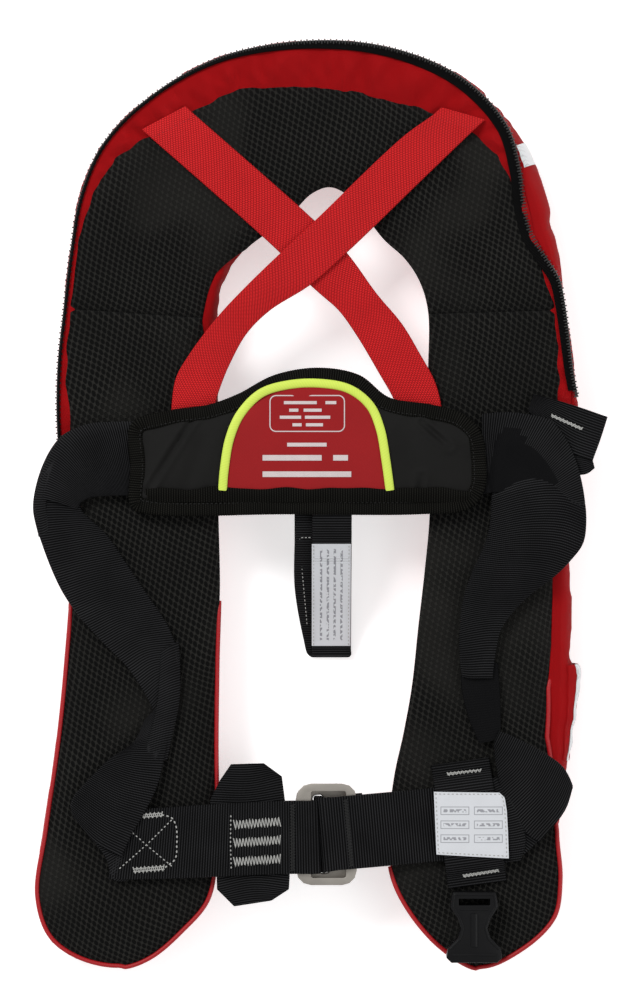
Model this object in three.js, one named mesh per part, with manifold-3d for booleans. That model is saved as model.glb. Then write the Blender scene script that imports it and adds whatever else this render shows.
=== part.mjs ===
// Inflatable life jacket, packed, lying on its front with the mesh-lined back upwards.
//
// Units are millimetres. +Z is up, +Y runs from the lobes to the collar, +X is to the right of
// the jacket as it lies. The origin is the middle of the outline, on the ground.
//
// The cover is a horseshoe-shaped fabric shell in three panels. It holds the folded bladder, the
// gas cylinder with its inflator, the oral tube and the whistle. The lining closes it from above.
// Two crossed straps hold the yoke at the collar. A webbing runs from the yoke over each lobe to
// the waist belt, which closes with a two-part steel buckle.

import * as THREE from 'three';
import { mergeVertices } from 'three/addons/utils/BufferGeometryUtils.js';
import Module from 'manifold-3d';

const wasm = await Module();
wasm.setup();

// ---------------------------------------------------------------- driving dimensions

const GAP = 0.35; // clearance between pieces that touch
const CLOTH = 2; // wall of the cover
const RIM_Z = 34; // top of the cover's wall
const LINING_TOP = 40; // top of the spacer-mesh lining
const EDGE_ROUND = 9; // rounding of the cover's lower edge
const SEAM_Y = 112; // where the lobes meet the collar
const PIPE_R = 1.6; // red piping and zip chain

const BELT_WIDTH = 45;
const BELT_THICK = 2.2;
const SHOULDER_WIDTH = 27;
const SHOULDER_THICK = 2;
const BELT_Y = -204.5; // middle of the waist belt, left half
const BELT_Z = 44; // mid-height of its upper layer
const RIGHT_BELT = { y: -202.3, tilt: THREE.MathUtils.degToRad(5.1) };

const STRAP_Z = [41, 46]; // folded webbing at each side
const YOKE_Z = [43.2, 51.2];

// Matched points down each lobe and round the collar: [neck-side x, y, outer x, y].
const LEFT_LOBE = [
  [-104, -279, -148, -280], [-84, -262, -167, -266], [-68, -242, -175, -240],
  [-63, -205, -170, -200], [-63, -145, -162, -145], [-62, -95, -157, -95],
  [-61, -50, -154, -50], [-62, 0, -155, 0], [-62, 45, -161, 45], [-62, 85, -161, 85],
];
const COLLAR = [
  [-63, 112, -158, 118], [-58, 138, -154, 155], [-45, 156, -148, 190], [-31, 167, -134, 222],
  [-17, 178, -106, 250], [-5, 190, -60, 276], [6, 194, 0, 285.5], [17, 189, 50, 279],
  [28, 176, 90, 261], [39, 162, 116, 232], [52, 150, 129, 205], [61, 136, 143, 170],
  [66, 118, 151, 122],
];
const RIGHT_LOBE = [
  [66, 80, 157, 80], [66, 40, 160, 45], [67, -5, 156, -5], [64, -40, 155, -45],
  [60, -75, 155, -85], [56, -112, 157, -113], [51, -140, 155, -145], [45, -168, 150, -172],
  [42, -198, 147, -200], [44, -228, 149, -230], [56, -252, 145, -254], [76, -274, 124, -275],
];
const LEFT_TIP = [-122, -285];
const RIGHT_TIP = [98, -285.5];

const YOKE_OUTLINE = [
  [-115, 49], [-92, 57], [-68, 60.5], [-50, 67], [-28, 78.5], [-1, 83], [24, 78.5], [42, 65],
  [68, 60.5], [87, 55], [98, 44], [101, 28], [100, 8], [90, -3], [60, -6], [-20, -6],
  [-104, -6], [-115, -2], [-115.5, 22],
];
const YOKE_BORDER = 9; // width of the ribbed binding
const ARCH = [
  [-59, 6], [-56, 38], [-50, 54], [-38, 66.5], [-20, 72], [0, 73], [17, 69.5], [29, 60],
  [35.5, 46], [39.5, 26], [43, 6],
];
const ARCH_WIDTH = 5.5;

const LEFT_SHOULDER = [
  [-93, 233.5, 41.6], [-55, 200, 41.6], [-14, 163.4, 41.9], [5, 143.8, 41.9],
  [23.5, 123, 41.6], [37, 106, 41.6], [48, 87, 41.6], [59, 62, 41.6], [61, 52, 41.6],
];
const RIGHT_SHOULDER = [
  [85, 235.5, 41.6], [60, 213, 41.8], [30, 185, 43.4], [6.4, 163, 44.6], [-14.7, 143.8, 44.4],
  [-38, 126, 42.8], [-54, 109.5, 41.6], [-67, 88, 41.6], [-76, 62, 41.6], [-77.5, 52, 41.6],
];

const LEFT_STRAP = [
  [-118, 49.5], [-145, 47], [-160, 37], [-170, 18], [-175.3, -3], [-169, -27], [-158, -52],
  [-147, -68], [-132, -85], [-118, -99], [-106, -120], [-110, -142], [-129, -156], [-148, -175],
  [-151, -184], [-144, -199], [-131, -216], [-123, -228], [-109.6, -222], [-109.6, -181.5], [-103, -181.5],
  [-98, -172], [-90, -136], [-86, -112], [-87, -86], [-94, -70], [-108, -49], [-122, -29],
  [-138, -9], [-147, 2], [-118, 5.5],
];
const RIGHT_STRAP = [
  [101.8, 55], [128, 54.5], [141, 51], [151, 39], [158, 21], [161, 0], [162, -14], [157, -30],
  [143, -44], [128, -55], [117, -66], [110, -78], [106.5, -98], [109, -138], [122, -144],
  [138, -153], [149, -161], [154.5, -171.5], [147, -187], [134, -205], [119, -217],
  [114, -210], [111, -179], [106, -150], [88, -141], [86, -96], [85, -77], [88, -57],
  [94, -39], [103, -22], [106, -4], [101.8, 6],
];

// ---------------------------------------------------------------- finishes

const FINISHES = {
  red_shell: { color: 0xb8141c, roughness: 0.75 },
  red_piping: { color: 0xc4121c, roughness: 0.45 },
  red_webbing: { color: 0xcf2a2c, roughness: 0.65 },
  black_mesh: { color: 0x14130f, roughness: 0.9 },
  black_webbing: { color: 0x1d1d1f, roughness: 0.7 },
  black_binding: { color: 0x23211c, roughness: 0.8 },
  black_nylon: { color: 0x1a1b1d, roughness: 0.55 },
  red_twill: { color: 0x9c1a1f, roughness: 0.7 },
  neon_piping: { color: 0xc8eb28, roughness: 0.55 },
  white_label: { color: 0xd9dce0, roughness: 0.8 },
  reflective: { color: 0xc9ccd0, roughness: 0.35 },
  zip_plastic: { color: 0x121214, roughness: 0.45 },
  bladder_film: { color: 0xd6dd2a, roughness: 0.5 },
  steel: { color: 0x99958c, roughness: 0.35, metalness: 1 },
  black_plastic: { color: 0x101113, roughness: 0.4 },
  grey_steel: { color: 0x8a8d90, roughness: 0.4, metalness: 1 },
  yellow_plastic: { color: 0xe0b81c, roughness: 0.45 },
  red_plastic: { color: 0xc21a1a, roughness: 0.4 },
  orange_plastic: { color: 0xe0641c, roughness: 0.45 },
};

// ---------------------------------------------------------------- geometry helpers

const jacket = new THREE.Group();

/** Add a named mesh to a group, with one of the finishes above. */
function addPart(name, geometry, finish, group = jacket) {
  const mesh = new THREE.Mesh(geometry, new THREE.MeshStandardMaterial(FINISHES[finish]));
  mesh.name = name;
  group.add(mesh);
  return mesh;
}

/** Points on a smooth curve through flat points, closed or open. */
function smoothCurve(points, closed, count) {
  const knots = points.map(([x, y]) => new THREE.Vector3(x, y, 0));
  const curve = new THREE.CatmullRomCurve3(knots, closed, 'centripetal');
  const samples = curve.getSpacedPoints(count).map((p) => new THREE.Vector2(p.x, p.y));
  return closed ? samples.slice(0, -1) : samples;
}

/** A closed outline moved inwards by a distance, along the normals of its points. */
function insetOutline(outline, distance) {
  const turn = THREE.ShapeUtils.area(outline) > 0 ? 1 : -1;
  return outline.map((point, i) => {
    const before = outline[(i + outline.length - 1) % outline.length];
    const after = outline[(i + 1) % outline.length];
    const along = after.clone().sub(before).normalize();
    return new THREE.Vector2(
      point.x - along.y * distance * turn,
      point.y + along.x * distance * turn,
    );
  });
}

/** A flat outline raised from z0 to z1, with optional holes. */
function slab(outline, z0, z1, holes = []) {
  const shape = new THREE.Shape(outline);
  holes.forEach((hole) => shape.holes.push(new THREE.Path(hole)));
  const geometry = new THREE.ExtrudeGeometry(shape, { depth: z1 - z0, bevelEnabled: false });
  return geometry.translate(0, 0, z0);
}

/** A slab with its edges rounded inside the outline, above and below. */
function roundedSlab(outline, z0, z1, round, segments = 2) {
  const geometry = new THREE.ExtrudeGeometry(new THREE.Shape(outline), {
    depth: z1 - z0 - 2 * round,
    bevelThickness: round,
    bevelSize: round,
    bevelOffset: -round,
    bevelSegments: segments,
  });
  return geometry.translate(0, 0, z0 + round);
}

/** Straight-sided outline of a rectangle with rounded corners. */
function roundedRectangle(width, height, radius, steps = 3) {
  const corners = [[1, 1, 0], [-1, 1, 90], [-1, -1, 180], [1, -1, 270]];
  return corners.flatMap(([sx, sy, start]) => {
    const cx = sx * (width / 2 - radius);
    const cy = sy * (height / 2 - radius);
    return Array.from({ length: steps + 1 }, (_, k) => {
      const angle = THREE.MathUtils.degToRad(start + (90 * k) / steps);
      return new THREE.Vector2(cx + radius * Math.cos(angle), cy + radius * Math.sin(angle));
    });
  });
}

/** Regular section of a round cord. */
function roundSection(radius, sides) {
  return Array.from({ length: sides }, (_, k) => {
    const angle = (2 * Math.PI * k) / sides;
    return new THREE.Vector2(radius * Math.cos(angle), radius * Math.sin(angle));
  });
}

/** A section carried along a smooth route of [x, y, z] points. */
function sweep(section, route, steps) {
  const path = new THREE.CatmullRomCurve3(
    route.map(([x, y, z]) => new THREE.Vector3(x, y, z)), false, 'centripetal',
  );
  return new THREE.ExtrudeGeometry(new THREE.Shape(section), { steps, extrudePath: path });
}

/** A flat band: thickness across the route's plane, width in it. */
function flatSection(width, thickness) {
  const w = width / 2;
  const t = thickness / 2;
  return [[-t, -w], [t, -w], [t, w], [-t, w]].map(([x, y]) => new THREE.Vector2(x, y));
}

/** A webbing seen edge-on: its route is [x, z] points, thickened and carried along Y. */
function foldedWebbing(route, thickness, width) {
  const centre = route.map(([x, z]) => new THREE.Vector2(x, z));
  const sides = [1, -1].map((side) => centre.map((point, i) => {
    const before = centre[Math.max(i - 1, 0)];
    const after = centre[Math.min(i + 1, centre.length - 1)];
    const into = point.clone().sub(before).normalize();
    const out = after.clone().sub(point).normalize();
    const along = into.clone().add(out).normalize();
    const square = new THREE.Vector2(-along.y, along.x);
    const bend = i > 0 && i < centre.length - 1 ? square.dot(new THREE.Vector2(-into.y, into.x)) : 1;
    return point.clone().addScaledVector(square, (side * thickness) / 2 / bend);
  }));
  const outline = [...sides[0], ...sides[1].reverse()];
  const geometry = new THREE.ExtrudeGeometry(new THREE.Shape(outline), {
    depth: width, bevelEnabled: false,
  });
  return geometry.rotateX(Math.PI / 2).translate(0, width / 2, 0);
}

/** A round solid turned about the Y axis: its profile is [radius, y] points. */
function turned(profile, x, z, sides = 20) {
  const points = profile.map(([r, y]) => new THREE.Vector2(r, y));
  return new THREE.LatheGeometry(points, sides).translate(x, 0, z);
}

/** A box by its lowest and highest corners. */
function block(low, high) {
  const size = high.map((value, i) => value - low[i]);
  const middle = high.map((value, i) => (value + low[i]) / 2);
  return new THREE.BoxGeometry(...size).translate(...middle);
}

/** A closed geometry as a solid that can be cut and joined. */
function toSolid(geometry) {
  const bare = geometry.clone();
  bare.deleteAttribute('normal');
  bare.deleteAttribute('uv');
  const merged = mergeVertices(bare, 1e-4);
  return new wasm.Manifold(new wasm.Mesh({
    numProp: 3,
    vertProperties: new Float32Array(merged.attributes.position.array),
    triVerts: new Uint32Array(merged.index.array),
  }));
}

/** A solid as a geometry again. */
function toGeometry(solid) {
  const mesh = solid.getMesh();
  const geometry = new THREE.BufferGeometry();
  geometry.setAttribute('position', new THREE.BufferAttribute(mesh.vertProperties, 3));
  geometry.setIndex(new THREE.BufferAttribute(mesh.triVerts, 1));
  return geometry;
}

/** The first geometry with the others cut away. */
function cut(geometry, ...tools) {
  const result = tools.reduce((solid, tool) => solid.subtract(toSolid(tool)), toSolid(geometry));
  return toGeometry(result);
}

/** The space that two geometries share. */
function shared(first, second) {
  return toGeometry(toSolid(first).intersect(toSolid(second)));
}

/** Several overlapping geometries as one. */
function joined(...geometries) {
  return toGeometry(geometries.map(toSolid).reduce((sum, solid) => sum.add(solid)));
}

// ---------------------------------------------------------------- horseshoe outlines

const STATIONS = [...LEFT_LOBE, ...COLLAR, ...RIGHT_LOBE];

/** The whole horseshoe, once round: up its outer edge, down the neck edge. */
function horseshoe(count) {
  const outer = STATIONS.map(([, , x, y]) => [x, y]);
  const inner = STATIONS.map(([x, y]) => [x, y]).reverse();
  return smoothCurve([LEFT_TIP, ...outer, RIGHT_TIP, ...inner], true, count);
}

/** A band inside the horseshoe, between two shares of the way from neck edge to outer edge. */
function horseshoeBand(inside, outside, first, last, count) {
  const rows = STATIONS.slice(first, last);
  const at = (share) => rows.map(([xi, yi, xo, yo]) => [
    THREE.MathUtils.lerp(xi, xo, share), THREE.MathUtils.lerp(yi, yo, share),
  ]);
  return smoothCurve([...at(outside), ...at(inside).reverse()], true, count);
}

/** The big blocks that part the horseshoe at the two shoulder seams. */
function seamRegions() {
  const far = 400;
  return {
    left: block([-far, -far, -50], [0, SEAM_Y - GAP / 2, 200]),
    collar: block([-far, SEAM_Y + GAP / 2, -50], [far, far, 200]),
    right: block([0, -far, -50], [far, SEAM_Y - GAP / 2, 200]),
  };
}

// ---------------------------------------------------------------- cover and lining

const HATCH = { y0: -150, y1: -104, z0: 11, z1: 29 }; // access opening in the right-hand wall

/** The red shell: floor and walls, open on top, with an access hatch in its right wall. */
function buildCover() {
  const outline = horseshoe(140);
  const blank = cut(
    roundedSlab(outline, 0, RIM_Z + EDGE_ROUND * 2, EDGE_ROUND),
    block([-400, -400, RIM_Z], [400, 400, 100]),
  );
  const cavity = roundedSlab(
    insetOutline(outline, CLOTH), CLOTH, RIM_Z + EDGE_ROUND * 2 + 6, EDGE_ROUND - CLOTH,
  );
  const hatch = block([140, HATCH.y0, HATCH.z0], [175, HATCH.y1, HATCH.z1]);
  const shell = cut(blank, cavity, hatch);
  const regions = seamRegions();
  addPart('cover_left_lobe', shared(shell, regions.left), 'red_shell');
  addPart('cover_collar', shared(shell, regions.collar), 'red_shell');
  addPart('cover_right_lobe', shared(shell, regions.right), 'red_shell');
}

/** The spacer-mesh panels. On the collar a red facing runs between the mesh and the zip. */
function buildLining() {
  const z0 = RIM_Z + GAP;
  const lobes = slab(insetOutline(horseshoe(90), 2 * PIPE_R + 1), z0, LINING_TOP);
  const regions = seamRegions();
  addPart('lining_left_lobe', shared(lobes, regions.left), 'black_mesh');
  addPart('lining_right_lobe', shared(lobes, regions.right), 'black_mesh');
  const first = LEFT_LOBE.length - 1;
  const last = LEFT_LOBE.length + COLLAR.length + 1;
  const band = slab(horseshoeBand(0.045, 0.72, first, last, 56), z0, LINING_TOP);
  addPart('lining_collar', shared(band, regions.collar), 'black_mesh');
  const facing = slab(horseshoeBand(0.77, 0.87, first, last - 4, 40), z0, z0 + CLOTH);
  addPart('collar_facing', shared(facing, regions.collar), 'red_shell');
}

/** Red piping round the lower end of each lobe, between the cover's rim and the lining. */
function buildPiping() {
  const z = RIM_Z + GAP + PIPE_R;
  const route = (rows, tip, outerRows) => {
    const outer = rows.slice(outerRows[0], outerRows[1]).map(([, , x, y]) => [x, y]);
    const inner = rows.slice(outerRows[0], outerRows[1]).map(([x, y]) => [x, y]);
    return { outer, inner, tip };
  };
  const left = route(LEFT_LOBE, LEFT_TIP, [0, 7]);
  const right = route([...RIGHT_LOBE].reverse(), RIGHT_TIP, [0, 8]);
  const place = ({ outer, inner, tip }) => {
    const line = smoothCurve([...[...inner].reverse(), tip, ...outer], false, 46);
    const middle = new THREE.Vector2(
      (inner[3][0] + outer[3][0]) / 2, (inner[3][1] + outer[3][1]) / 2 + 20,
    );
    return line.map((point) => {
      const inwards = middle.clone().sub(point).normalize().multiplyScalar(PIPE_R);
      return [point.x + inwards.x, point.y + inwards.y, z];
    });
  };
  const section = roundSection(PIPE_R, 6);
  addPart('piping_left_lobe', sweep(section, place(left), 46), 'red_piping');
  addPart('piping_right_lobe', sweep(section, place(right), 46), 'red_piping');
}

// ---------------------------------------------------------------- zip

const ZIP_Z = RIM_Z + GAP + PIPE_R;
const SLIDER = { x: -158.6, y: 10, length: 12, thick: 1.6 };

/** The burst zip: chain along the outer edge, tape inside it, slider and pull at its left end. */
function buildZip() {
  const chain = [
    [-154, -34], [-155.5, 0], [-159, 45], [-159, 85], [-156, 118], [-152, 154], [-146, 189],
    [-132.5, 220], [-105, 247.5], [-59, 273.5], [0, 283], [49, 277], [88.5, 259], [114, 232],
    [122, 206], [125, 182], [129, 166], [138, 151], [146, 138], [149, 122], [154.5, 80],
    [157, 66],
  ];
  const tape = chain.map(([x, y]) => {
    const inwards = new THREE.Vector2(-x, 60 - y).normalize().multiplyScalar(PIPE_R + 5);
    return [x + inwards.x, y + inwards.y];
  });
  const onLevel = (z) => ([x, y]) => [x, y, z];
  const chainGeometry = sweep(roundSection(PIPE_R, 6), chain.map(onLevel(ZIP_Z)), 64);
  const tapeRoute = tape.slice(4, -3).map(onLevel(RIM_Z + GAP + 0.6));
  addPart('zip_chain', chainGeometry, 'zip_plastic');
  addPart('zip_tape', sweep(flatSection(5.4, 1.2), tapeRoute, 56), 'black_webbing');

  // The slider and its pull stand upright on the outer wall: height first, then length.
  const { x, y, length, thick } = SLIDER;
  const upright = (height, run, z, x1) => slab(roundedRectangle(height, run, 2.5), 0, thick)
    .rotateY(Math.PI / 2).translate(x1 - thick, y, z);
  addPart('zip_slider', upright(8, length, ZIP_Z - 1, x), 'grey_steel');
  addPart('zip_pull', upright(22, 6, ZIP_Z - 10, x - thick - GAP), 'grey_steel');
}

// ---------------------------------------------------------------- inside the cover

const GAS = { x: 135.5, z: 17, radius: 12.5, top: 48, bottom: -78 };
const INFLATOR = { x0: 122, x1: 145, y0: -116, y1: -80, z0: 5, z1: 29 };
const LEVER = { y: -98, z: 15, arm: 14 };
const TOGGLE = { x: 138, top: -138, length: 26 };
const ORAL = { x: -139, z: 16, radius: 6.5, top: -55, bottom: -160 };

/** The folded bladder, one horseshoe that runs through all three cover panels. */
function buildBladder() {
  const band = horseshoeBand(0.1, 0.5, 1, STATIONS.length - 1, 84);
  addPart('bladder', roundedSlab(band, CLOTH + 1, RIM_Z - 3, 8, 1), 'bladder_film');
}

/** Gas cylinder, its inflator with lever and water trigger, and the pull toggle. */
function buildInflator() {
  const { x, z, radius, top, bottom } = GAS;
  const cylinder = [
    [0, bottom], [5, bottom], [5, bottom + 8], [radius, bottom + 20], [radius, top - 6],
    [radius - 4, top], [0, top],
  ];
  addPart('co2_cylinder', turned(cylinder, x, z), 'grey_steel');

  const { x0, x1, y0, y1, z0, z1 } = INFLATOR;
  const middle = [(x0 + x1) / 2, (y0 + y1) / 2];
  const plan = roundedRectangle(x1 - x0, y1 - y0, 5).map(
    (p) => new THREE.Vector2(p.x + middle[0], p.y + middle[1]),
  );
  const neck = turned([[0, y1 - 8], [5.5, y1 - 8], [5.5, y1 + 9], [0, y1 + 9]], x, z);
  addPart('inflator_body', cut(slab(plan, z0, z1), neck), 'black_plastic');

  const cap = [[0, y0 - 16], [9, y0 - 16], [10, y0 - 14], [10, y0 - GAP], [0, y0 - GAP]];
  addPart('trigger_cartridge', turned(cap, x - 1, z), 'yellow_plastic');

  const arm = [[-3.5, -3.5], [3.5, -3.5], [3.5, LEVER.arm + 2], [-3.5, LEVER.arm + 2]];
  const lever = new THREE.ExtrudeGeometry(
    new THREE.Shape(arm.map(([u, v]) => new THREE.Vector2(u, v))),
    { depth: 3, bevelEnabled: false },
  );
  lever.rotateX(Math.PI / 2).rotateZ(Math.PI / 2).translate(x1 + GAP, LEVER.y, LEVER.z);
  addPart('inflator_lever', lever, 'red_plastic');

  const cordX = x1 + GAP + 3 + 1.6;
  const cordZ = LEVER.z + LEVER.arm - 1;
  const cord = [
    [cordX, LEVER.y - 2, cordZ], [cordX, LEVER.y - 14, cordZ], [cordX - 1, LEVER.y - 26, cordZ - 1],
    [cordX - 5, LEVER.y - 34, cordZ - 3], [141, TOGGLE.top + GAP, 23.5],
  ];
  addPart('toggle_cord', sweep(roundSection(1, 6), cord, 14), 'black_webbing');
  const grip = roundedRectangle(12, TOGGLE.length, 4).map(
    (p) => new THREE.Vector2(p.x + TOGGLE.x, p.y + TOGGLE.top - TOGGLE.length / 2),
  );
  addPart('toggle_handle', roundedSlab(grip, 15, 31, 2, 1), 'red_plastic');
}

/** Oral inflation tube with its dust cap, and the whistle. */
function buildOralTubeAndWhistle() {
  const { x, z, radius, top, bottom } = ORAL;
  const bore = radius - 1.5;
  const tube = [[bore, bottom], [radius, bottom], [radius, top], [bore, top], [bore, bottom]];
  addPart('oral_tube', turned(tube, x, z), 'black_plastic');
  const lip = radius + 0.5;
  const cap = [
    [0, bottom - 4], [lip + 1.8, bottom - 4], [lip + 1.8, bottom + 9], [lip, bottom + 9],
    [lip, bottom - 1], [0, bottom - 1],
  ];
  addPart('oral_tube_cap', turned(cap, x, z), 'red_plastic');

  const plan = roundedRectangle(15, 42, 5).map((p) => new THREE.Vector2(p.x - 138, p.y - 208));
  const windows = [-204, -212].map((y) => block([-141, y - 2, 14], [-120, y + 2, 40]));
  addPart('whistle', cut(slab(plan, 10, 21), ...windows), 'orange_plastic');
}

// ---------------------------------------------------------------- yoke and crossed straps

/** Padded back panel with its ribbed binding, the arch of piping and the patch inside it. */
function buildYoke() {
  const knots = YOKE_OUTLINE.map(([x, y]) => new THREE.Vector2(x, y));
  const inwards = (distance) => smoothCurve(
    insetOutline(knots, distance).map(({ x, y }) => [x, y]), true, 64,
  );
  const [z0, z1] = YOKE_Z;
  const ring = cut(slab(inwards(0), z0, z1), slab(inwards(YOKE_BORDER), z0 - 1, z1 + 1));
  addPart('yoke_binding', ring, 'black_binding');
  addPart('yoke_panel', roundedSlab(inwards(YOKE_BORDER + GAP), z0, z1, 2, 1), 'black_nylon');

  const arch = ARCH.map(([x, y]) => [x, y, z1 + GAP + 1.1]);
  addPart('yoke_piping', sweep(flatSection(ARCH_WIDTH, 2.2), arch, 44), 'neon_piping');
  const middle = new THREE.Vector2(-8, 20);
  const inside = smoothCurve(ARCH, false, 30).map((point) => {
    const towards = middle.clone().sub(point).normalize();
    return point.clone().addScaledVector(towards, ARCH_WIDTH / 2 + 2 * GAP);
  });
  addPart('yoke_patch', slab(inside, z1 + GAP, z1 + GAP + 0.8), 'red_twill');
}

/** The two red straps, sewn at the collar and crossing behind the neck. */
function buildShoulderStraps() {
  const section = flatSection(SHOULDER_WIDTH, SHOULDER_THICK);
  addPart('shoulder_strap_left', sweep(section, LEFT_SHOULDER, 30), 'red_webbing');
  addPart('shoulder_strap_right', sweep(section, RIGHT_SHOULDER, 30), 'red_webbing');
}

/** Doubled webbing tab under the yoke, with its care label. */
function buildBackLoop() {
  const route = [[8.2, 46.5], [20, 43], [40, 31], [62, 17], [82, 6], [94, 4.4]];
  const loop = foldedWebbing(route, 4, 24.5);
  loop.rotateZ(-Math.PI / 2).translate(7.4, 0, 0);
  addPart('back_loop', loop, 'black_webbing');
  const label = foldedWebbing([[27, 41.9], [40, 34], [62, 20], [82, 9], [87, 8]], 0.8, 24);
  label.rotateZ(-Math.PI / 2).translate(7.4, 0, 0);
  addPart('back_loop_label', label, 'white_label');
}

// ---------------------------------------------------------------- side straps and waist belt

const BUCKLE = { x: 4, y: -202, width: 37, height: 62, thick: 2.6, z: 39.9 };

/** Folded webbing from the yoke over each lobe down to the belt. */
function buildSideStraps() {
  const plan = (points) => points.map(([x, y]) => new THREE.Vector2(x, y));
  addPart('side_strap_left', slab(plan(LEFT_STRAP), ...STRAP_Z), 'black_webbing');
  addPart('side_strap_right', slab(plan(RIGHT_STRAP), ...STRAP_Z), 'black_webbing');
}

/** Left half of the belt, folded round the buckle frame, with its eight-sided doubling tab. */
function buildLeftBelt() {
  const lower = BUCKLE.z - GAP - BELT_THICK / 2;
  const route = [[-109, BELT_Z], [-4.1, BELT_Z], [-4.1, lower], [-42, lower]];
  const belt = foldedWebbing(route, BELT_THICK, BELT_WIDTH).translate(0, BELT_Y, 0);
  addPart('belt_left', belt, 'black_webbing');
  const tab = [
    [-54, -159], [-34, -158.5], [-23, -166], [-18, -180], [-18.5, -231], [-27, -242],
    [-52, -246], [-66, -236], [-67, -182],
  ].map(([x, y]) => new THREE.Vector2(x, y));
  addPart('belt_tab_left', slab(tab, LINING_TOP + 0.6, LINING_TOP + 2.5), 'black_webbing');
}

/** Right half of the belt, folded round the insert, and the insert itself. */
function buildRightBelt() {
  const group = new THREE.Group();
  group.position.set(0, RIGHT_BELT.y, 0);
  group.rotation.z = RIGHT_BELT.tilt;
  jacket.add(group);
  const insertTop = BUCKLE.z - BELT_THICK - 2 * GAP - 0.2;
  const insertBottom = insertTop - BUCKLE.thick;
  const lower = insertBottom - GAP - BELT_THICK / 2;
  const route = [[91, BELT_Z], [1.2, BELT_Z], [1.2, lower], [28, lower]];
  addPart('belt_right', foldedWebbing(route, BELT_THICK, BELT_WIDTH), 'black_webbing', group);
  const plate = roundedRectangle(34, 60, 8).map((p) => new THREE.Vector2(p.x + 4, p.y));
  const slot = roundedRectangle(6.4, 48, 2).map((p) => new THREE.Vector2(p.x + 0.7, p.y));
  addPart('buckle_insert', slab(plate, insertBottom, insertTop, [slot]), 'steel', group);
}

/** The frame half of the steel buckle. */
function buildBuckleFrame() {
  const { x, y, width, height, thick, z } = BUCKLE;
  const placed = (outline, shift) => outline.map(
    (p) => new THREE.Vector2(p.x + x + shift, p.y + y),
  );
  const plate = placed(roundedRectangle(width, height, 9), 0);
  const window = placed(roundedRectangle(21.5, 53, 1.5), 1.2);
  addPart('buckle_frame', slab(plate, z, z + thick, [window]), 'steel');
}

/** The upright loop on the right lobe that the belt runs through, with its printed label. */
function buildBeltLoop() {
  const group = new THREE.Group();
  group.position.set(91, -195, 0);
  group.rotation.z = THREE.MathUtils.degToRad(8);
  jacket.add(group);
  const low = LINING_TOP + GAP + BELT_THICK / 2;
  const high = BELT_Z + BELT_THICK + GAP;
  const route = [[-38, low], [-29, low], [-25, high], [25, high], [29, low], [37, low]];
  const loop = foldedWebbing(route, BELT_THICK, 36);
  addPart('belt_loop_right', loop.rotateZ(Math.PI / 2), 'black_webbing', group);
  const label = roundedRectangle(46, 40, 1, 1);
  const labelZ = high + BELT_THICK / 2 + GAP;
  addPart('belt_label', slab(label, labelZ, labelZ + 0.6), 'white_label', group);
}

/** Webbing keeper at the right shoulder, over the side strap. */
function buildKeeperTab() {
  const tab = [[131, 66.5], [175.3, 53.5], [167, 27], [161, 17], [153, 24], [142, 44], [127, 57]];
  const outline = tab.map(([x, y]) => new THREE.Vector2(x, y));
  addPart('keeper_tab', slab(outline, STRAP_Z[1] + GAP, STRAP_Z[1] + GAP + 2.2), 'black_webbing');
}

// ---------------------------------------------------------------- crotch-strap buckle

const SOCKET = { x: 94, top: -236.5, z0: LINING_TOP + 1, z1: LINING_TOP + 10.5 };

/** Socket half of a side-release buckle, with its webbing bar at the top. */
function buildCrotchBuckle() {
  const { x, top, z0, z1 } = SOCKET;
  const outline = [
    [-13, 0], [13, 0], [14, -4], [14.5, -9], [10, -16], [8, -22], [10, -28], [16, -34],
    [17, -40], [14, -43], [-14, -43], [-17, -40], [-16, -34], [-10, -28], [-8, -22],
    [-10, -16], [-14.5, -9], [-14, -4],
  ].map(([u, v]) => new THREE.Vector2(u + x, v + top));
  const barSlot = block([x - 9.5, top - 8, z0 - 1], [x + 9.5, top - 4, z1 + 1]);
  const mouth = block([x - 13, top - 50, z0 + 2.2], [x + 13, top - 30, z1 - 2.2]);
  const throat = block([x - 6, top - 31, z0 + 2.2], [x + 6, top - 14, z1 - 2.2]);
  addPart('crotch_buckle', cut(slab(outline, z0, z1), barSlot, mouth, throat), 'black_plastic');
}

// ---------------------------------------------------------------- small trim

/** Hatch flap on the right-hand wall, with a reflective strip along its edge. */
function buildPocketFlap() {
  const x = 158.2;
  addPart('pocket_flap', block([x, -156, 7], [x + 1.6, -100, 31]), 'red_shell');
  const strip = block([x + 1.6 + GAP, -155, 24], [x + 2.4 + GAP, -102, 30]);
  addPart('pocket_flap_trim', strip, 'reflective');
}

/** Reflective patch where the zip crosses the right of the collar. */
function buildReflectivePatch() {
  const patch = [[124.5, 216], [128.3, 217], [131.5, 206], [128.5, 205]];
  const outline = patch.map(([x, y]) => new THREE.Vector2(x, y));
  addPart('collar_reflector', slab(outline, RIM_Z + GAP, RIM_Z + GAP + 0.8), 'reflective');
}

buildCover();
buildLining();
buildPiping();
buildZip();
buildBladder();
buildInflator();
buildOralTubeAndWhistle();
buildYoke();
buildShoulderStraps();
buildBackLoop();
buildSideStraps();
buildLeftBelt();
buildRightBelt();
buildBuckleFrame();
buildBeltLoop();
buildKeeperTab();
buildCrotchBuckle();
buildPocketFlap();
buildReflectivePatch();

export default jacket;
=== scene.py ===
"""An inflatable life jacket, packed, lying on its front with the mesh-lined back upwards.

Lengths in this file are millimetres in the frame of the CAD model, +Z up and +Y towards the
collar. They become metres where a surface is handed to Blender.
"""

import logging
import math
from dataclasses import dataclass, field
from enum import Enum
from typing import Any, Callable, Sequence

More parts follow.
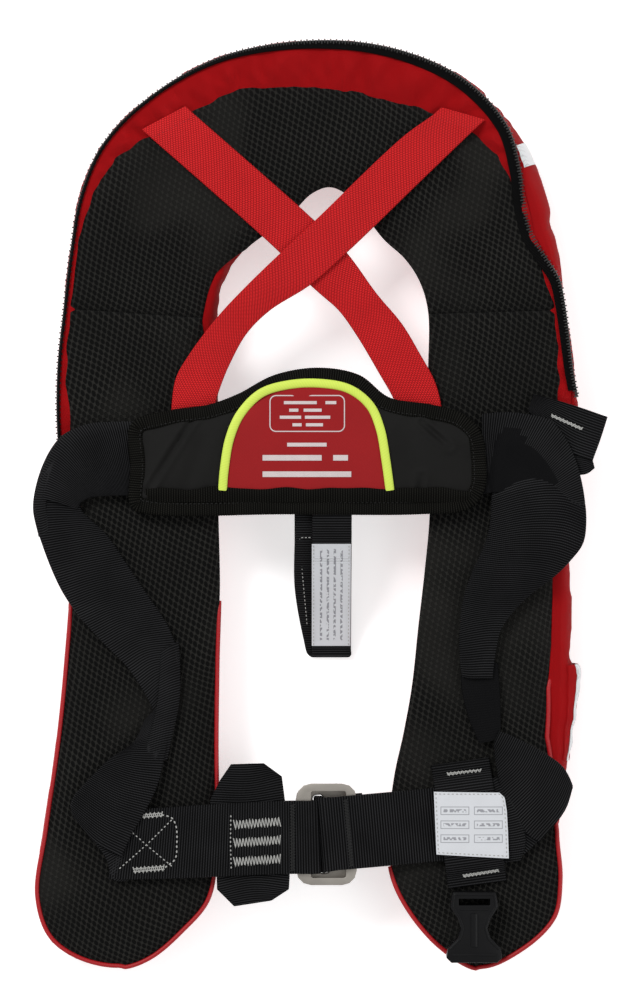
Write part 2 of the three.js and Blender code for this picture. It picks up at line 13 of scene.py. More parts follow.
import bmesh
import bpy
import numpy as np
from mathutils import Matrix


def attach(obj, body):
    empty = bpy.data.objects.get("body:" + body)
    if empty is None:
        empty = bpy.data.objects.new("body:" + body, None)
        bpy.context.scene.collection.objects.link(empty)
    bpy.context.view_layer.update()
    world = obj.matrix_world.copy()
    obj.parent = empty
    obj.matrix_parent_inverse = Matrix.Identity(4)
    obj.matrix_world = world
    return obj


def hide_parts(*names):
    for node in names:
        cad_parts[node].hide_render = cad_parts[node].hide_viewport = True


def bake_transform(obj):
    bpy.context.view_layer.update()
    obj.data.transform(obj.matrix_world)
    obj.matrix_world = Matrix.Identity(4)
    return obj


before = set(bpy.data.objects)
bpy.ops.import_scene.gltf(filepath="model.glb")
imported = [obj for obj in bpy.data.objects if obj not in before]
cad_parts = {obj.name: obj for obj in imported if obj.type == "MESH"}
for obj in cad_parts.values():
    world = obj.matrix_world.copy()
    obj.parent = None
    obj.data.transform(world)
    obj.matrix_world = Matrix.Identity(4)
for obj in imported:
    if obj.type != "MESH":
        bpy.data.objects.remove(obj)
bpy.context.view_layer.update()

Array = np.ndarray
MM = 0.001
log = logging.getLogger("life_jacket")


# ---------------------------------------------------------------- curves


def smooth_at(knots: Array, t: Array, closed: bool = False) -> Array:
    """Points of a centripetal Catmull-Rom curve.

    Each stretch between two knots is the pyramid of straight blends between its four nearest
    knots, with knot spacing equal to the square root of their distance.

    Args:
        knots: The points the curve runs through, one per row.
        t: Where to read the curve, in knots from the first one.
        closed: Whether the curve runs on from the last knot to the first.

    Returns:
        One point per value of t.
    """
    p = np.asarray(knots, float)
    if closed:
        p = np.concatenate([p[-1:], p, p[:2]])
        stretches = len(p) - 3
        t = np.mod(t, stretches)
    else:
        p = np.concatenate([2 * p[:1] - p[1:2], p, 2 * p[-1:] - p[-2:-1]])
        stretches = len(p) - 3
    i = np.clip(np.floor(t).astype(int), 0, stretches - 1)
    share = (t - i).reshape((-1,) + (1,) * (p.ndim - 1))
    a, b, c, d = (p[i + k] for k in range(4))

    def gap(first: Array, second: Array) -> Array:
        """Knot spacing of two points."""
        return np.sqrt(np.maximum(np.linalg.norm(second - first, axis=-1, keepdims=True), 1e-9))

    t1 = gap(a, b)
    t2 = t1 + gap(b, c)
    t3 = t2 + gap(c, d)
    x = t1 + (t2 - t1) * share
    ab = (t1 - x) / t1 * a + x / t1 * b
    bc = (t2 - x) / (t2 - t1) * b + (x - t1) / (t2 - t1) * c
    cd = (t3 - x) / (t3 - t2) * c + (x - t2) / (t3 - t2) * d
    abc = (t2 - x) / t2 * ab + x / t2 * bc
    bcd = (t3 - x) / (t3 - t1) * bc + (x - t1) / (t3 - t1) * cd
    return (t2 - x) / (t2 - t1) * abc + (x - t1) / (t2 - t1) * bcd


def lengths(points: Array, closed: bool = False) -> Array:
    """Distance run along a line of points, from 0 at the first; a closed one ends back there."""
    p = np.concatenate([points, points[:1]]) if closed else points
    return np.concatenate([[0.0], np.cumsum(np.linalg.norm(np.diff(p, axis=0), axis=1))])


def evenly(points: Array, count: int, closed: bool = False) -> Array:
    """A line of points read again at even distances.

    Args:
        points: The line, one point per row.
        count: How many points to return.
        closed: Whether the line closes; its first point isn't repeated then.

    Returns:
        The new points.
    """
    run = lengths(points, closed)
    p = np.concatenate([points, points[:1]]) if closed else points
    at = np.linspace(0, run[-1], count, endpoint=not closed)
    return np.stack([np.interp(at, run, p[:, k]) for k in range(p.shape[1])], axis=1)


def smooth(knots: Sequence, count: int = 200, closed: bool = False) -> Array:
    """A smooth curve through knots, with its points at even distances.

    Args:
        knots: The points it runs through, flat or 3-D.
        count: How many points to return.
        closed: Whether it closes.

    Returns:
        The points, one per row.
    """
    p = np.asarray(knots, float)
    stretches = len(p) if closed else len(p) - 1
    fine = smooth_at(p, np.linspace(0, stretches, 30 * stretches + 1, endpoint=not closed), closed)
    return evenly(fine, count, closed)


def straight(knots: Sequence, count: int) -> Array:
    """A line of straight stretches, with its points at even distances."""
    return evenly(np.asarray(knots, float), count)


def at_height(points: Array, z: float | Array) -> Array:
    """Flat points lifted to a height."""
    return np.column_stack([points[:, :2], np.broadcast_to(z, len(points))])


def unit(vectors: Array) -> Array:
    """Vectors made one long."""
    return vectors / np.maximum(np.linalg.norm(vectors, axis=-1, keepdims=True), 1e-12)


def left_of(points: Array, closed: bool = False) -> Array:
    """The flat direction to the left of travel, at each point of a flat line."""
    if closed:
        along = np.roll(points, -1, axis=0) - np.roll(points, 1, axis=0)
    else:
        along = np.gradient(points, axis=0)
    return unit(np.column_stack([-along[:, 1], along[:, 0]]))


def nearest(points: Array, line: Array) -> Array:
    """Distance from flat points to the nearest stretch of a closed flat line.

    Args:
        points: Flat points, shape (..., 2).
        line: The corners of the closed line, one per row.

    Returns:
        One distance per point.
    """
    flat = points.reshape(-1, 1, 2)
    start = line[None]
    along = np.roll(line, -1, axis=0)[None] - start
    share = ((flat - start) * along).sum(-1) / np.maximum((along**2).sum(-1), 1e-12)
    foot = start + np.clip(share, 0, 1)[..., None] * along
    return np.linalg.norm(flat - foot, axis=-1).min(axis=1).reshape(points.shape[:-1])


def ripple(x: Array, y: Array, seed: int, span: float, waves: int = 9) -> Array:
    """Smooth cloth-like unevenness: a sum of sine waves in seeded directions.

    Args:
        x: First coordinate.
        y: Second coordinate.
        seed: Chooses the directions and phases.
        span: Typical length of one wave.
        waves: How many waves are added.

    Returns:
        Values of about -1 to 1.
    """
    draw = np.random.default_rng(seed)
    angle = draw.uniform(0, math.tau, waves)
    wave = math.tau / (span * draw.uniform(0.6, 1.7, waves))
    phase = draw.uniform(0, math.tau, waves)
    x, y = np.asarray(x)[..., None], np.asarray(y)[..., None]
    return np.sin((x * np.cos(angle) + y * np.sin(angle)) * wave + phase).sum(-1) / waves**0.5


# ---------------------------------------------------------------- surfaces


@dataclass
class Surface:
    """Points in millimetres, faces of one size per array, and each corner's place on the cloth."""

    points: Array
    faces: list[Array]
    cloth: list[Array]
    finish: list[Array]

    def __add__(self, other: "Surface") -> "Surface":
        """Both surfaces as one."""
        return Surface(
            np.concatenate([self.points, other.points]),
            self.faces + [f + len(self.points) for f in other.faces],
            self.cloth + other.cloth,
            self.finish + other.finish,
        )

    def dressed(self, finish: int) -> "Surface":
        """The same surface in one of the finishes of its piece."""
        return Surface(
            self.points, self.faces, self.cloth, [np.full(len(f), finish) for f in self.faces]
        )

    def dressed_inside(self, outline: Array, finish: int) -> "Surface":
        """The same surface with the faces whose middles lie in a flat outline in another finish.

        A middle is inside if a line from it to the right crosses the outline an odd number of
        times.
        """
        start, end = outline, np.roll(outline, -1, axis=0)
        finishes = []
        for f, m in zip(self.faces, self.finish):
            x, y = self.points[f].mean(axis=1)[:, :2].T[:, :, None]
            spans = (start[:, 1] > y) != (end[:, 1] > y)
            rise = np.where(end[:, 1] == start[:, 1], 1.0, end[:, 1] - start[:, 1])
            cross = start[:, 0] + (y - start[:, 1]) * (end[:, 0] - start[:, 0]) / rise
            inside = (spans & (x < cross)).sum(axis=1) % 2 == 1
            finishes.append(np.where(inside, finish, m))
        return Surface(self.points, self.faces, self.cloth, finishes)

    def placed(self, turn: float = 0.0, to: Sequence[float] = (0, 0, 0)) -> "Surface":
        """The same surface turned about the upright axis, in degrees, and then moved."""
        c, s = math.cos(math.radians(turn)), math.sin(math.radians(turn))
        matrix = np.array([[c, -s, 0], [s, c, 0], [0, 0, 1]])
        return Surface(
            self.points @ matrix.T + np.asarray(to, float), self.faces, self.cloth, self.finish
        )

    def outward(self) -> "Surface":
        """The same closed surface with its faces turned to point outwards."""
        corners = [self.points[f] for f in self.faces]
        volume = sum(
            (c[:, 0] * np.cross(c[:, k], c[:, k + 1])).sum()
            for c in corners
            for k in range(1, c.shape[1] - 1)
        )
        if volume >= 0:
            return self
        return Surface(
            self.points, [f[:, ::-1] for f in self.faces], [c[:, ::-1] for c in self.cloth],
            self.finish
        )

    def welded(self) -> "Surface":
        """The same surface with points in one place made one, and faces that closed up dropped."""
        _, first, index = np.unique(
            np.round(self.points, 5), axis=0, return_index=True, return_inverse=True
        )
        index = index.reshape(-1)
        faces, cloth, finish = [], [], []
        for f, c, m in zip(self.faces, self.cloth, self.finish):
            new = index[f]
            same = new == np.roll(new, -1, axis=1)
            whole = ~same.any(axis=1)
            faces.append(new[whole])
            cloth.append(c[whole])
            finish.append(m[whole])
            if f.shape[1] == 4:
                once = same.sum(axis=1) == 1
                keep = ~same[once]
                faces.append(new[once][keep].reshape(-1, 3))
                cloth.append(c[once][keep].reshape(-1, 3, 2))
                finish.append(m[once])
        kept = [k for k, f in enumerate(faces) if len(f)]
        return Surface(
            self.points[first], [faces[k] for k in kept], [cloth[k] for k in kept],
            [finish[k] for k in kept],
        )


def grid(
    points: Array, wrap_rows: bool = False, wrap_cols: bool = False, run: Array | None = None
) -> Surface:
    """Four-cornered faces over a grid of points, with cloth lengths measured along its middle.

    Args:
        points: The grid, shape (rows, columns, 3).
        wrap_rows: Whether the last row meets the first.
        wrap_cols: Whether the last column meets the first.
        run: Length along the cloth at each row, if it is known.

    Returns:
        The surface.
    """
    rows, cols = points.shape[:2]
    i, j = np.meshgrid(
        np.arange(rows if wrap_rows else rows - 1), np.arange(cols if wrap_cols else cols - 1),
        indexing="ij",
    )
    i, j = i.ravel(), j.ravel()
    ii = np.stack([i, i + 1, i + 1, i], axis=1)
    jj = np.stack([j, j, j + 1, j + 1], axis=1)
    u = lengths(points[:, cols // 4], wrap_rows) if run is None else run
    v = lengths(points[rows // 2], wrap_cols)
    return Surface(
        points.reshape(-1, 3),
        [(ii % rows) * cols + jj % cols],
        [np.stack([u[ii], v[jj]], axis=2)],
        [np.zeros(len(i), int)],
    )


def closed_sheet(top: Array, bottom: Array, run: Array | None = None) -> Surface:
    """A closed solid between two grids of the same shape, joined round their edges.

    Args:
        top: Upper grid, shape (rows, columns, 3).
        bottom: Lower grid of the same shape.
        run: Length along the cloth at each row, if it is known.

    Returns:
        The surface, welded, with its faces outwards.
    """
    upper, lower = grid(top, run=run), grid(bottom, run=run)
    lower.faces = [f[:, ::-1] for f in lower.faces]
    lower.cloth = [c[:, ::-1] for c in lower.cloth]
    rims = [np.concatenate([g[0], g[1:, -1], g[-1, -2::-1], g[-2:0:-1, 0]]) for g in (top, bottom)]
    sides = grid(np.stack(rims, axis=1), wrap_rows=True)
    return (upper + lower + sides).welded().outward()


def ring_sheet(rings: Array) -> Surface:
    """Rings of points joined into a doughnut: rows run round it, columns round its section."""
    return grid(rings, wrap_rows=True, wrap_cols=True).outward()


def capped_tube(rings: Array) -> Surface:
    """Rings of points joined into a tube, each end closed with a fan about its middle."""
    around = rings.shape[1]
    ends = [np.repeat(r.mean(axis=0)[None, None], around, axis=1) for r in (rings[0], rings[-1])]
    return grid(np.concatenate([ends[0], rings, ends[1]]), wrap_cols=True).welded().outward()


def frames_along(
    path: Array, up: Sequence[float] = (0, 0, 1), closed: bool = False
) -> tuple[Array, Array]:
    """Two directions square to a path at each point.

    Args:
        path: The path, one 3-D point per row.
        up: The direction that counts as upwards.
        closed: Whether the path closes.

    Returns:
        The directions level with the ground, and those upwards.
    """
    if closed:
        along = unit(np.roll(path, -1, axis=0) - np.roll(path, 1, axis=0))
    else:
        along = unit(np.gradient(path, axis=0))
    side = unit(np.cross(along, np.asarray(up, float)))
    return side, unit(np.cross(side, along))


def cord_tube(path: Array, radius: float | Array, sides: int = 10, flat: float = 1.0) -> Surface:
    """A round or flattened tube: each ring is the path point plus radius times cosine and sine.

    Args:
        path: Middle line, one point per row.
        radius: Half the width of the tube, one value or one per point.
        sides: Points round each ring.
        flat: Height of the section over its width.

    Returns:
        The closed surface.
    """
    side, up = frames_along(path)
    angle = np.linspace(0, math.tau, sides, endpoint=False)
    r = np.broadcast_to(np.asarray(radius, float), len(path))[:, None, None]
    ring = (
        np.cos(angle)[None, :, None] * side[:, None]
        + flat * np.sin(angle)[None, :, None] * up[:, None]
    )
    return capped_tube(path[:, None] + r * ring)


@dataclass(frozen=True)
class Ribs:
    """Raised lines across a webbing: their spacing along it and their height."""

    pitch: float = 1.6
    height: float = 0.16


def band(
    edges: Sequence[Array],
    thick: float = 2.2,
    ribs: Ribs | None = None,
    step: float = 1.6,
    cols: int = 13,
    fade: Callable[[Array, Array], Array] | None = None,
) -> Surface:
    """A woven band stretched over lines that run along it.

    Row u joins the points at share u of every line by one smooth curve. The two faces stand off
    that surface by half the thickness, which falls off as a half circle at the selvedges, plus
    the height of the ribs times the cosine of the length run over their spacing.

    Args:
        edges: Two or more lines of 3-D points, from one selvedge to the other.
        thick: Thickness of the band.
        ribs: Ribs across the band, or None.
        step: Length of a face along the band if it has no ribs.
        cols: Points across the band.
        fade: Strength of the ribs, 0 to 1, at a share of the length and of the width.

    Returns:
        The closed surface.
    """
    long = max(lengths(e)[-1] for e in edges)
    rows = int(long / (ribs.pitch / 4 if ribs else step)) + 2
    lines = np.stack([evenly(e, rows) for e in edges])
    share = (1 - np.cos(np.linspace(0, math.pi, cols))) / 2
    middle = smooth_at(lines, share * (len(edges) - 1)).transpose(1, 0, 2)
    along, across = np.gradient(middle, axis=0), np.gradient(middle, axis=1)
    normal = unit(np.cross(along, across))
    wide = np.linalg.norm(middle[:, -1] - middle[:, 0], axis=1)[:, None]
    inset = np.minimum(share, 1 - share)[None] * np.maximum(wide, thick)
    half = thick / 2 * np.sqrt(1 - np.clip(1 - inset / (thick / 2), 0, 1) ** 2)
    run = np.linspace(0, long, rows)[:, None]
    if ribs:
        strength = fade(run / long, share[None]) if fade else 1.0
        half = half + ribs.height * np.cos(math.tau * run / ribs.pitch) * strength * (half > 0)
    top, bottom = middle + normal * half[..., None], middle - normal * half[..., None]
    return closed_sheet(top, bottom, run[:, 0])


def star_grid(outline: Array, centre: Sequence[float], rings: int) -> Array:
    """A grid from a closed flat outline in to a centre, shape (rings + 1, points, 2).

    Point k of ring r is the outline's point k moved r/rings of the way to the centre.
    """
    share = np.linspace(0, 1, rings + 1)[:, None, None]
    return outline[None] + (np.asarray(centre, float) - outline[None]) * share


def star_solid(top: Array, bottom: Array) -> Surface:
    """A closed solid between two star grids, joined round their outlines."""
    upper, lower = grid(top, wrap_cols=True), grid(bottom, wrap_cols=True)
    lower.faces = [f[:, ::-1] for f in lower.faces]
    lower.cloth = [c[:, ::-1] for c in lower.cloth]
    side = grid(np.stack([bottom[0], top[0]]), wrap_cols=True)
    return (upper + lower + side).welded().outward()


# ---------------------------------------------------------------- stitches


def template_row(shape: Surface, at: Array, along: Array, up: Array) -> Surface:
    """One small shape set down many times.

    Each copy's point is the place plus x along the direction, y to its left and z upwards.

    Args:
        shape: The small shape, about the origin.
        at: Places, one per row.
        along: Direction of each copy's x axis.
        up: Direction of each copy's z axis.

    Returns:
        All copies as one surface.
    """
    x = unit(along)
    z = unit(up - (up * x).sum(-1, keepdims=True) * x)
    y = np.cross(z, x)
    p = shape.points
    points = (
        at[:, None]
        + p[None, :, :1] * x[:, None]
        + p[None, :, 1:2] * y[:, None]
        + p[None, :, 2:] * z[:, None]
    )
    shift = (np.arange(len(at)) * len(p))[:, None, None]

    def repeat(a: Array) -> Array:
        """The same rows once for each copy."""
        return np.broadcast_to(a, (len(at),) + a.shape).reshape((-1,) + a.shape[1:])

    return Surface(
        points.reshape(-1, 3),
        [(f[None] + shift).reshape(-1, f.shape[1]) for f in shape.faces],
        [repeat(c) for c in shape.cloth],
        [repeat(m) for m in shape.finish],
    )


def stitch_shape(length: float, radius: float) -> Surface:
    """One stitch: a bead whose radius follows a half sine along its length."""
    s = np.linspace(0, 1, 6)[1:-1]
    path = np.column_stack([(s - 0.5) * length, 0 * s, 0 * s])
    return cord_tube(path, radius * np.sin(math.pi * s) ** 0.5, sides=5, flat=0.8)


@dataclass(frozen=True)
class Seam:
    """A run of stitches: how far apart they are, how long each is, and the thread's radius."""

    pitch: float = 3.0
    length: float = 2.5
    radius: float = 0.38

    def along(self, path: Array) -> Surface:
        """Stitches laid end to end on a path of 3-D points."""
        count = max(int(lengths(path)[-1] / self.pitch), 2)
        line = evenly(path, count)
        up = np.tile([0.0, 0.0, 1.0], (count, 1))
        return template_row(
            stitch_shape(self.length, self.radius), line, np.gradient(line, axis=0), up
        )


def bar_tack(
    start: Sequence[float], end: Sequence[float], wide: float, pitch: float = 1.15,
    under: bool = True
) -> Surface:
    """A bar tack: one thread that zigzags across a short line, with two threads under it.

    Args:
        start: One end of the bar, x, y, z.
        end: Its other end.
        wide: Width of the zigzag.
        pitch: Length of half a zigzag.
        under: Whether the two threads under it show.

    Returns:
        The closed surface.
    """
    a, b = np.asarray(start, float), np.asarray(end, float)
    count = int(np.linalg.norm(b - a) / pitch) + 1
    s = np.linspace(0, 1, count)[:, None]
    side = unit(np.cross(b - a, [0, 0, 1.0]))
    swing = np.where(np.arange(count) % 2, 0.5, -0.5)[:, None] * wide
    thread = a + (b - a) * s + side * swing
    thread = np.repeat(thread, 2, axis=0)[1:]
    thread[1::2, 2] += 0.15
    path = evenly(thread, count * 4)
    surface = cord_tube(path, 0.34, sides=5)
    if not under:
        return surface
    rows = [
        cord_tube(evenly(np.stack([a + side * k * wide, b + side * k * wide]), 8), 0.3, 5, 0.6)
        for k in (-0.2, 0.2)
    ]
    return surface + rows[0] + rows[1]


# ---------------------------------------------------------------- handing pieces to Blender


def make_piece(
    name: str,
    surface: Surface,
    finishes: Sequence[bpy.types.Material],
    body: str | None = "root",
    sharp: float = 40.0,
    stands_for: str | None = None,
) -> bpy.types.Object:
    """Makes a Blender object of a surface and tells the frame about it.

    Args:
        name: The piece's name.
        surface: Its surface, in millimetres.
        finishes: Its materials, in the order of the surface's finish numbers.
        body: The body it rides on, or None to leave it on no body.
        sharp: Edges steeper than this, in degrees, stay sharp.
        stands_for: The CAD node that it replaces, if it replaces one.

    Returns:
        The object, at the origin.
    """
    mesh = bpy.data.meshes.new(name)
    sizes = np.concatenate([np.full(len(f), f.shape[1]) for f in surface.faces])
    corners = np.concatenate([f.ravel() for f in surface.faces])
    mesh.vertices.add(len(surface.points))
    mesh.vertices.foreach_set("co", (surface.points * MM).astype(np.float32).ravel())
    mesh.loops.add(len(corners))
    mesh.loops.foreach_set("vertex_index", corners.astype(np.int32))
    mesh.polygons.add(len(sizes))
    mesh.polygons.foreach_set("loop_start", (np.cumsum(sizes) - sizes).astype(np.int32))
    mesh.polygons.foreach_set("material_index", np.concatenate(surface.finish).astype(np.int32))
    mesh.polygons.foreach_set("use_smooth", np.ones(len(sizes), bool))
    mesh.update(calc_edges=True)
    layer = mesh.uv_layers.new(name="Cloth")
    cloth = np.concatenate([c.reshape(-1, 2) for c in surface.cloth])
    layer.uv.foreach_set("vector", cloth.astype(np.float32).ravel())
    mesh.validate()
    mesh.set_sharp_from_angle(angle=math.radians(sharp))
    for material in finishes:
        mesh.materials.append(material)
    piece = bpy.data.objects.new(name, mesh)
    bpy.context.scene.collection.objects.link(piece)
    if body:
        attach(piece, body)
    if stands_for:
        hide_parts(stands_for)
    log.info("%s: %d points, %d faces", name, len(mesh.vertices), len(mesh.polygons))
    return piece


def softened(
    node: str, name: str, finish: bpy.types.Material, body: str, edge: float
) -> bpy.types.Object:
    """A CAD node's shape with its edges rounded.

    Args:
        node: The CAD node that the piece replaces.
        name: The new piece's name.
        finish: Its material.
        body: The body it rides on.
        edge: Radius of the rounded edges.

    Returns:
        The object, at the origin.
    """
    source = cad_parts[node]
    mesh = bpy.data.meshes.new(name)
    work = bmesh.new()
    work.from_mesh(source.data)
    bmesh.ops.remove_doubles(work, verts=work.verts, dist=2e-6)
    bmesh.ops.dissolve_limit(
        work, angle_limit=math.radians(1), verts=work.verts, edges=work.edges
    )
    sharp = math.radians(35)
    steep = [e for e in work.edges if len(e.link_faces) == 2 and e.calc_face_angle(0) > sharp]
    bmesh.ops.bevel(
        work, geom=steep, offset=edge * MM, segments=3, profile=0.5, affect="EDGES",
        clamp_overlap=True,
    )
    bmesh.ops.triangulate(work, faces=[f for f in work.faces if len(f.verts) > 4])
    work.to_mesh(mesh)
    work.free()
    mesh.polygons.foreach_set("use_smooth", np.ones(len(mesh.polygons), bool))
    mesh.set_sharp_from_angle(angle=math.radians(35))
    mesh.materials.clear()
    mesh.materials.append(finish)
    piece = bpy.data.objects.new(name, mesh)
    bpy.context.scene.collection.objects.link(piece)
    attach(piece, body)
    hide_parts(node)
    log.info("%s: %d points, %d faces", name, len(mesh.vertices), len(mesh.polygons))
    return piece


# ---------------------------------------------------------------- shader nodes


class Wire:
    """A socket that carries numbers through a material, with Python's operators on it."""

    def __init__(self, graph: "Graph", socket: bpy.types.NodeSocket) -> None:
        """Wraps a socket of a material's nodes."""
        self.graph, self.socket = graph, socket

    def _math(self, operation: str, *values: Any) -> "Wire":
        """A Math node of the given operation, as its result."""
        node = self.graph.add("ShaderNodeMath", {"operation": operation}, dict(enumerate(values)))
        return Wire(self.graph, node.outputs[0])

    def __add__(self, other: Any) -> "Wire":
        """Sum."""
        return self._math("ADD", self, other)

    __radd__ = __add__

    def __mul__(self, other: Any) -> "Wire":
        """Product."""
        return self._math("MULTIPLY", self, other)

    __rmul__ = __mul__

    def __sub__(self, other: Any) -> "Wire":
        """Difference."""
        return self._math("SUBTRACT", self, other)

    def __rsub__(self, other: Any) -> "Wire":
        """Difference from a number."""
        return self._math("SUBTRACT", other, self)

    def __truediv__(self, other: Any) -> "Wire":
        """Quotient."""
        return self._math("DIVIDE", self, other)

    def sin(self) -> "Wire":
        """Sine of an angle in radians."""
        return self._math("SINE", self)

    def abs(self) -> "Wire":
        """Size without sign."""
        return self._math("ABSOLUTE", self)

    def part(self) -> "Wire":
        """What is over the last whole number."""
        return self._math("FRACT", self)

    def whole(self) -> "Wire":
        """The last whole number."""
        return self._math("FLOOR", self)

    def least(self, other: Any) -> "Wire":
        """The smaller of two."""
        return self._math("MINIMUM", self, other)

    def most(self, other: Any) -> "Wire":
        """The larger of two."""
        return self._math("MAXIMUM", self, other)

    def root(self) -> "Wire":
        """Square root."""
        return self._math("SQRT", self)

    def rise(self, low: float, high: float) -> "Wire":
        """0 up to low and 1 from high, turning smoothly between them."""
        node = self.graph.add(
            "ShaderNodeMapRange", {"interpolation_type": "SMOOTHSTEP"},
            {"Value": self, "From Min": low, "From Max": high},
        )
        return Wire(self.graph, node.outputs[0])


class Graph:
    """The nodes of one material."""

    def __init__(self, name: str) -> None:
        """Starts a material with nothing but its output."""
        self.material = bpy.data.materials.new(name)
        self.material.use_nodes = True
        self.tree = self.material.node_tree
        self.tree.nodes.clear()
        self.out = self.add("ShaderNodeOutputMaterial")
        self.place = self.add("ShaderNodeTexCoord")

    def add(
        self, kind: str, settings: dict[str, Any] | None = None,
        sockets: dict[str | int, Any] | None = None,
    ) -> bpy.types.Node:
        """Makes one node.

        Args:
            kind: The node's type.
            settings: Its properties, set before its sockets.
            sockets: Values or links of its sockets, by name or number.

        Returns:
            The node.
        """
        node = self.tree.nodes.new(kind)
        for key, value in (settings or {}).items():
            setattr(node, key, value)
        for key, value in (sockets or {}).items():
            socket = node.inputs[key]
            if isinstance(value, Wire):
                self.tree.links.new(value.socket, socket)
            elif isinstance(value, bpy.types.NodeSocket):
                self.tree.links.new(value, socket)
            else:
                socket.default_value = value
        return node

    def object_axes(self) -> tuple[Wire, Wire, Wire]:
        """The piece's own coordinates, in millimetres."""
        scaled = self.add(
            "ShaderNodeVectorMath", {"operation": "SCALE"},
            {0: self.place.outputs["Object"], "Scale": 1 / MM},
        )
        split = self.add("ShaderNodeSeparateXYZ", None, {0: scaled.outputs[0]})
        return tuple(Wire(self, o) for o in split.outputs)

    def cloth_axes(self) -> tuple[Wire, Wire]:
        """Lengths along and across the cloth, in millimetres."""
        split = self.add("ShaderNodeSeparateXYZ", None, {0: self.place.outputs["UV"]})
        return Wire(self, split.outputs[0]), Wire(self, split.outputs[1])

    def noise(self, size: float, detail: float = 2.0, on: str = "Object") -> Wire:
        """Cloudy noise, 0 to 1, whose clouds are about a size in millimetres across."""
        per = 1 / (size * (MM if on == "Object" else 1))
        node = self.add(
            "ShaderNodeTexNoise", None,
            {"Vector": self.place.outputs[on], "Scale": per, "Detail": detail},
        )
        return Wire(self, node.outputs["Fac"])

    def blend(self, share: Any, first: Any, second: Any) -> bpy.types.NodeSocket:
        """A colour between two, by a share."""
        node = self.add("ShaderNodeMix", {"data_type": "RGBA"})
        for index, value in ((0, share), (6, first), (7, second)):
            socket = node.inputs[index]
            if isinstance(value, Wire):
                self.tree.links.new(value.socket, socket)
            elif isinstance(value, bpy.types.NodeSocket):
                self.tree.links.new(value, socket)
            else:
                socket.default_value = value
        return node.outputs[2]

    def bump(self, height: Wire, depth: float, strength: float = 1.0) -> bpy.types.NodeSocket:
        """A normal bent by a height of 0 to 1, as deep as given in millimetres."""
        node = self.add(
            "ShaderNodeBump", None,
            {"Height": height, "Distance": depth * MM, "Strength": strength},
        )
        return node.outputs["Normal"]

    def finish(self, **sockets: Any) -> bpy.types.Material:
        """Ends the material with a Principled shader, its sockets named with underscores."""
        named = {key.replace("_", " "): value for key, value in sockets.items()}
        if "Specular IOR Level" not in named:
            named["Specular IOR Level"] = 0.5
        shader = self.add("ShaderNodeBsdfPrincipled", None, named)
        self.tree.links.new(shader.outputs[0], self.out.inputs[0])
        return self.material


Colour = tuple[float, float, float]


def rgba(colour: Colour, times: float = 1.0) -> tuple[float, float, float, float]:
    """A colour with its full opacity, made lighter or darker."""
    return (colour[0] * times, colour[1] * times, colour[2] * times, 1.0)


@dataclass(frozen=True)
class PlainCloth:
    """Closely woven cloth: fine threads both ways, faint mottling and soft folds."""

    name: str
    colour: Colour
    thread: float = 0.55
    mottle: float = 0.16
    relief: float = 0.26
    rough: float = 0.72
    gloss: float = 0.13
    sheen: float = 0.0

    def make(self) -> bpy.types.Material:
        """Builds the material."""
        g = Graph(self.name)
        x, y, z = g.object_axes()
        per = math.tau / self.thread
        weave = ((x + z) * per).sin() * ((y + z) * per).sin() * 0.5 + 0.5
        cloud = g.noise(38, 3.0)
        fold = g.noise(9, 2.0)
        tone = (weave * 0.25 + 0.75) * (cloud * 2 * self.mottle + 1 - self.mottle)
        colour = g.blend(tone.least(1.0), rgba(self.colour, 0.45), rgba(self.colour, 1.12))
        height = weave * 0.35 + fold * 0.65
        return g.finish(
            Base_Color=colour, Roughness=cloud * 0.12 + (self.rough - 0.06),
            Specular_IOR_Level=self.gloss, Sheen_Weight=self.sheen, Sheen_Roughness=0.5,
            Normal=g.bump(height, self.relief * 3),
        )


@dataclass(frozen=True)
class SpacerMesh:
    """Knitted spacer mesh: rows of oval holes between fine ribs, over a darker ground."""

    name: str
    yarn: Colour = (0.0142, 0.0137, 0.0121)
    ground: Colour = (0.0006, 0.0006, 0.0005)
    pitch: float = 3.9
    turn: float = 24.0
    hole: float = 1.2

    def make(self) -> bpy.types.Material:
        """Builds the material. A hole is where the nearer of two shifted lattices is close."""
        g = Graph(self.name)
        x, y, z = g.object_axes()
        drift = (g.noise(60, 1.0) - 0.5) * 7
        c, s = math.cos(math.radians(self.turn)), math.sin(math.radians(self.turn))
        a = (x * c + y * s + drift) / self.pitch
        b = (y * c - x * s + z * 0.5 + drift) / (self.pitch * 1.5)

        def lattice(shift: float) -> Wire:
            """Distance to the nearest hole of one lattice, in millimetres."""
            da = ((a + shift).part() - 0.5) * self.pitch
            db = ((b + shift).part() - 0.5) * (self.pitch * 1.5 * 0.62)
            return (da * da + db * db).root()

        near = lattice(0.0).least(lattice(0.5))
        flat = g.noise(75, 1.0).rise(0.5, 0.68) * 0.5
        solid = near.rise(self.hole * 0.72, self.hole * 1.2).most(flat)
        knit = ((x * 0.8 + y * 0.6) * (math.tau / 0.7)).sin() * 0.5 + 0.5
        cloud = g.noise(45, 3.0)
        tone = solid * (knit * 0.35 + 0.65) * (cloud * 0.9 + 0.45)
        return g.finish(
            Base_Color=g.blend(tone.least(1.0), rgba(self.ground), rgba(self.yarn, 1.5)),
            Roughness=0.92 - cloud * 0.1, Specular_IOR_Level=0.12, Sheen_Weight=0.02,
            Normal=g.bump(solid * 0.8 + knit * 0.2, 0.9),
        )


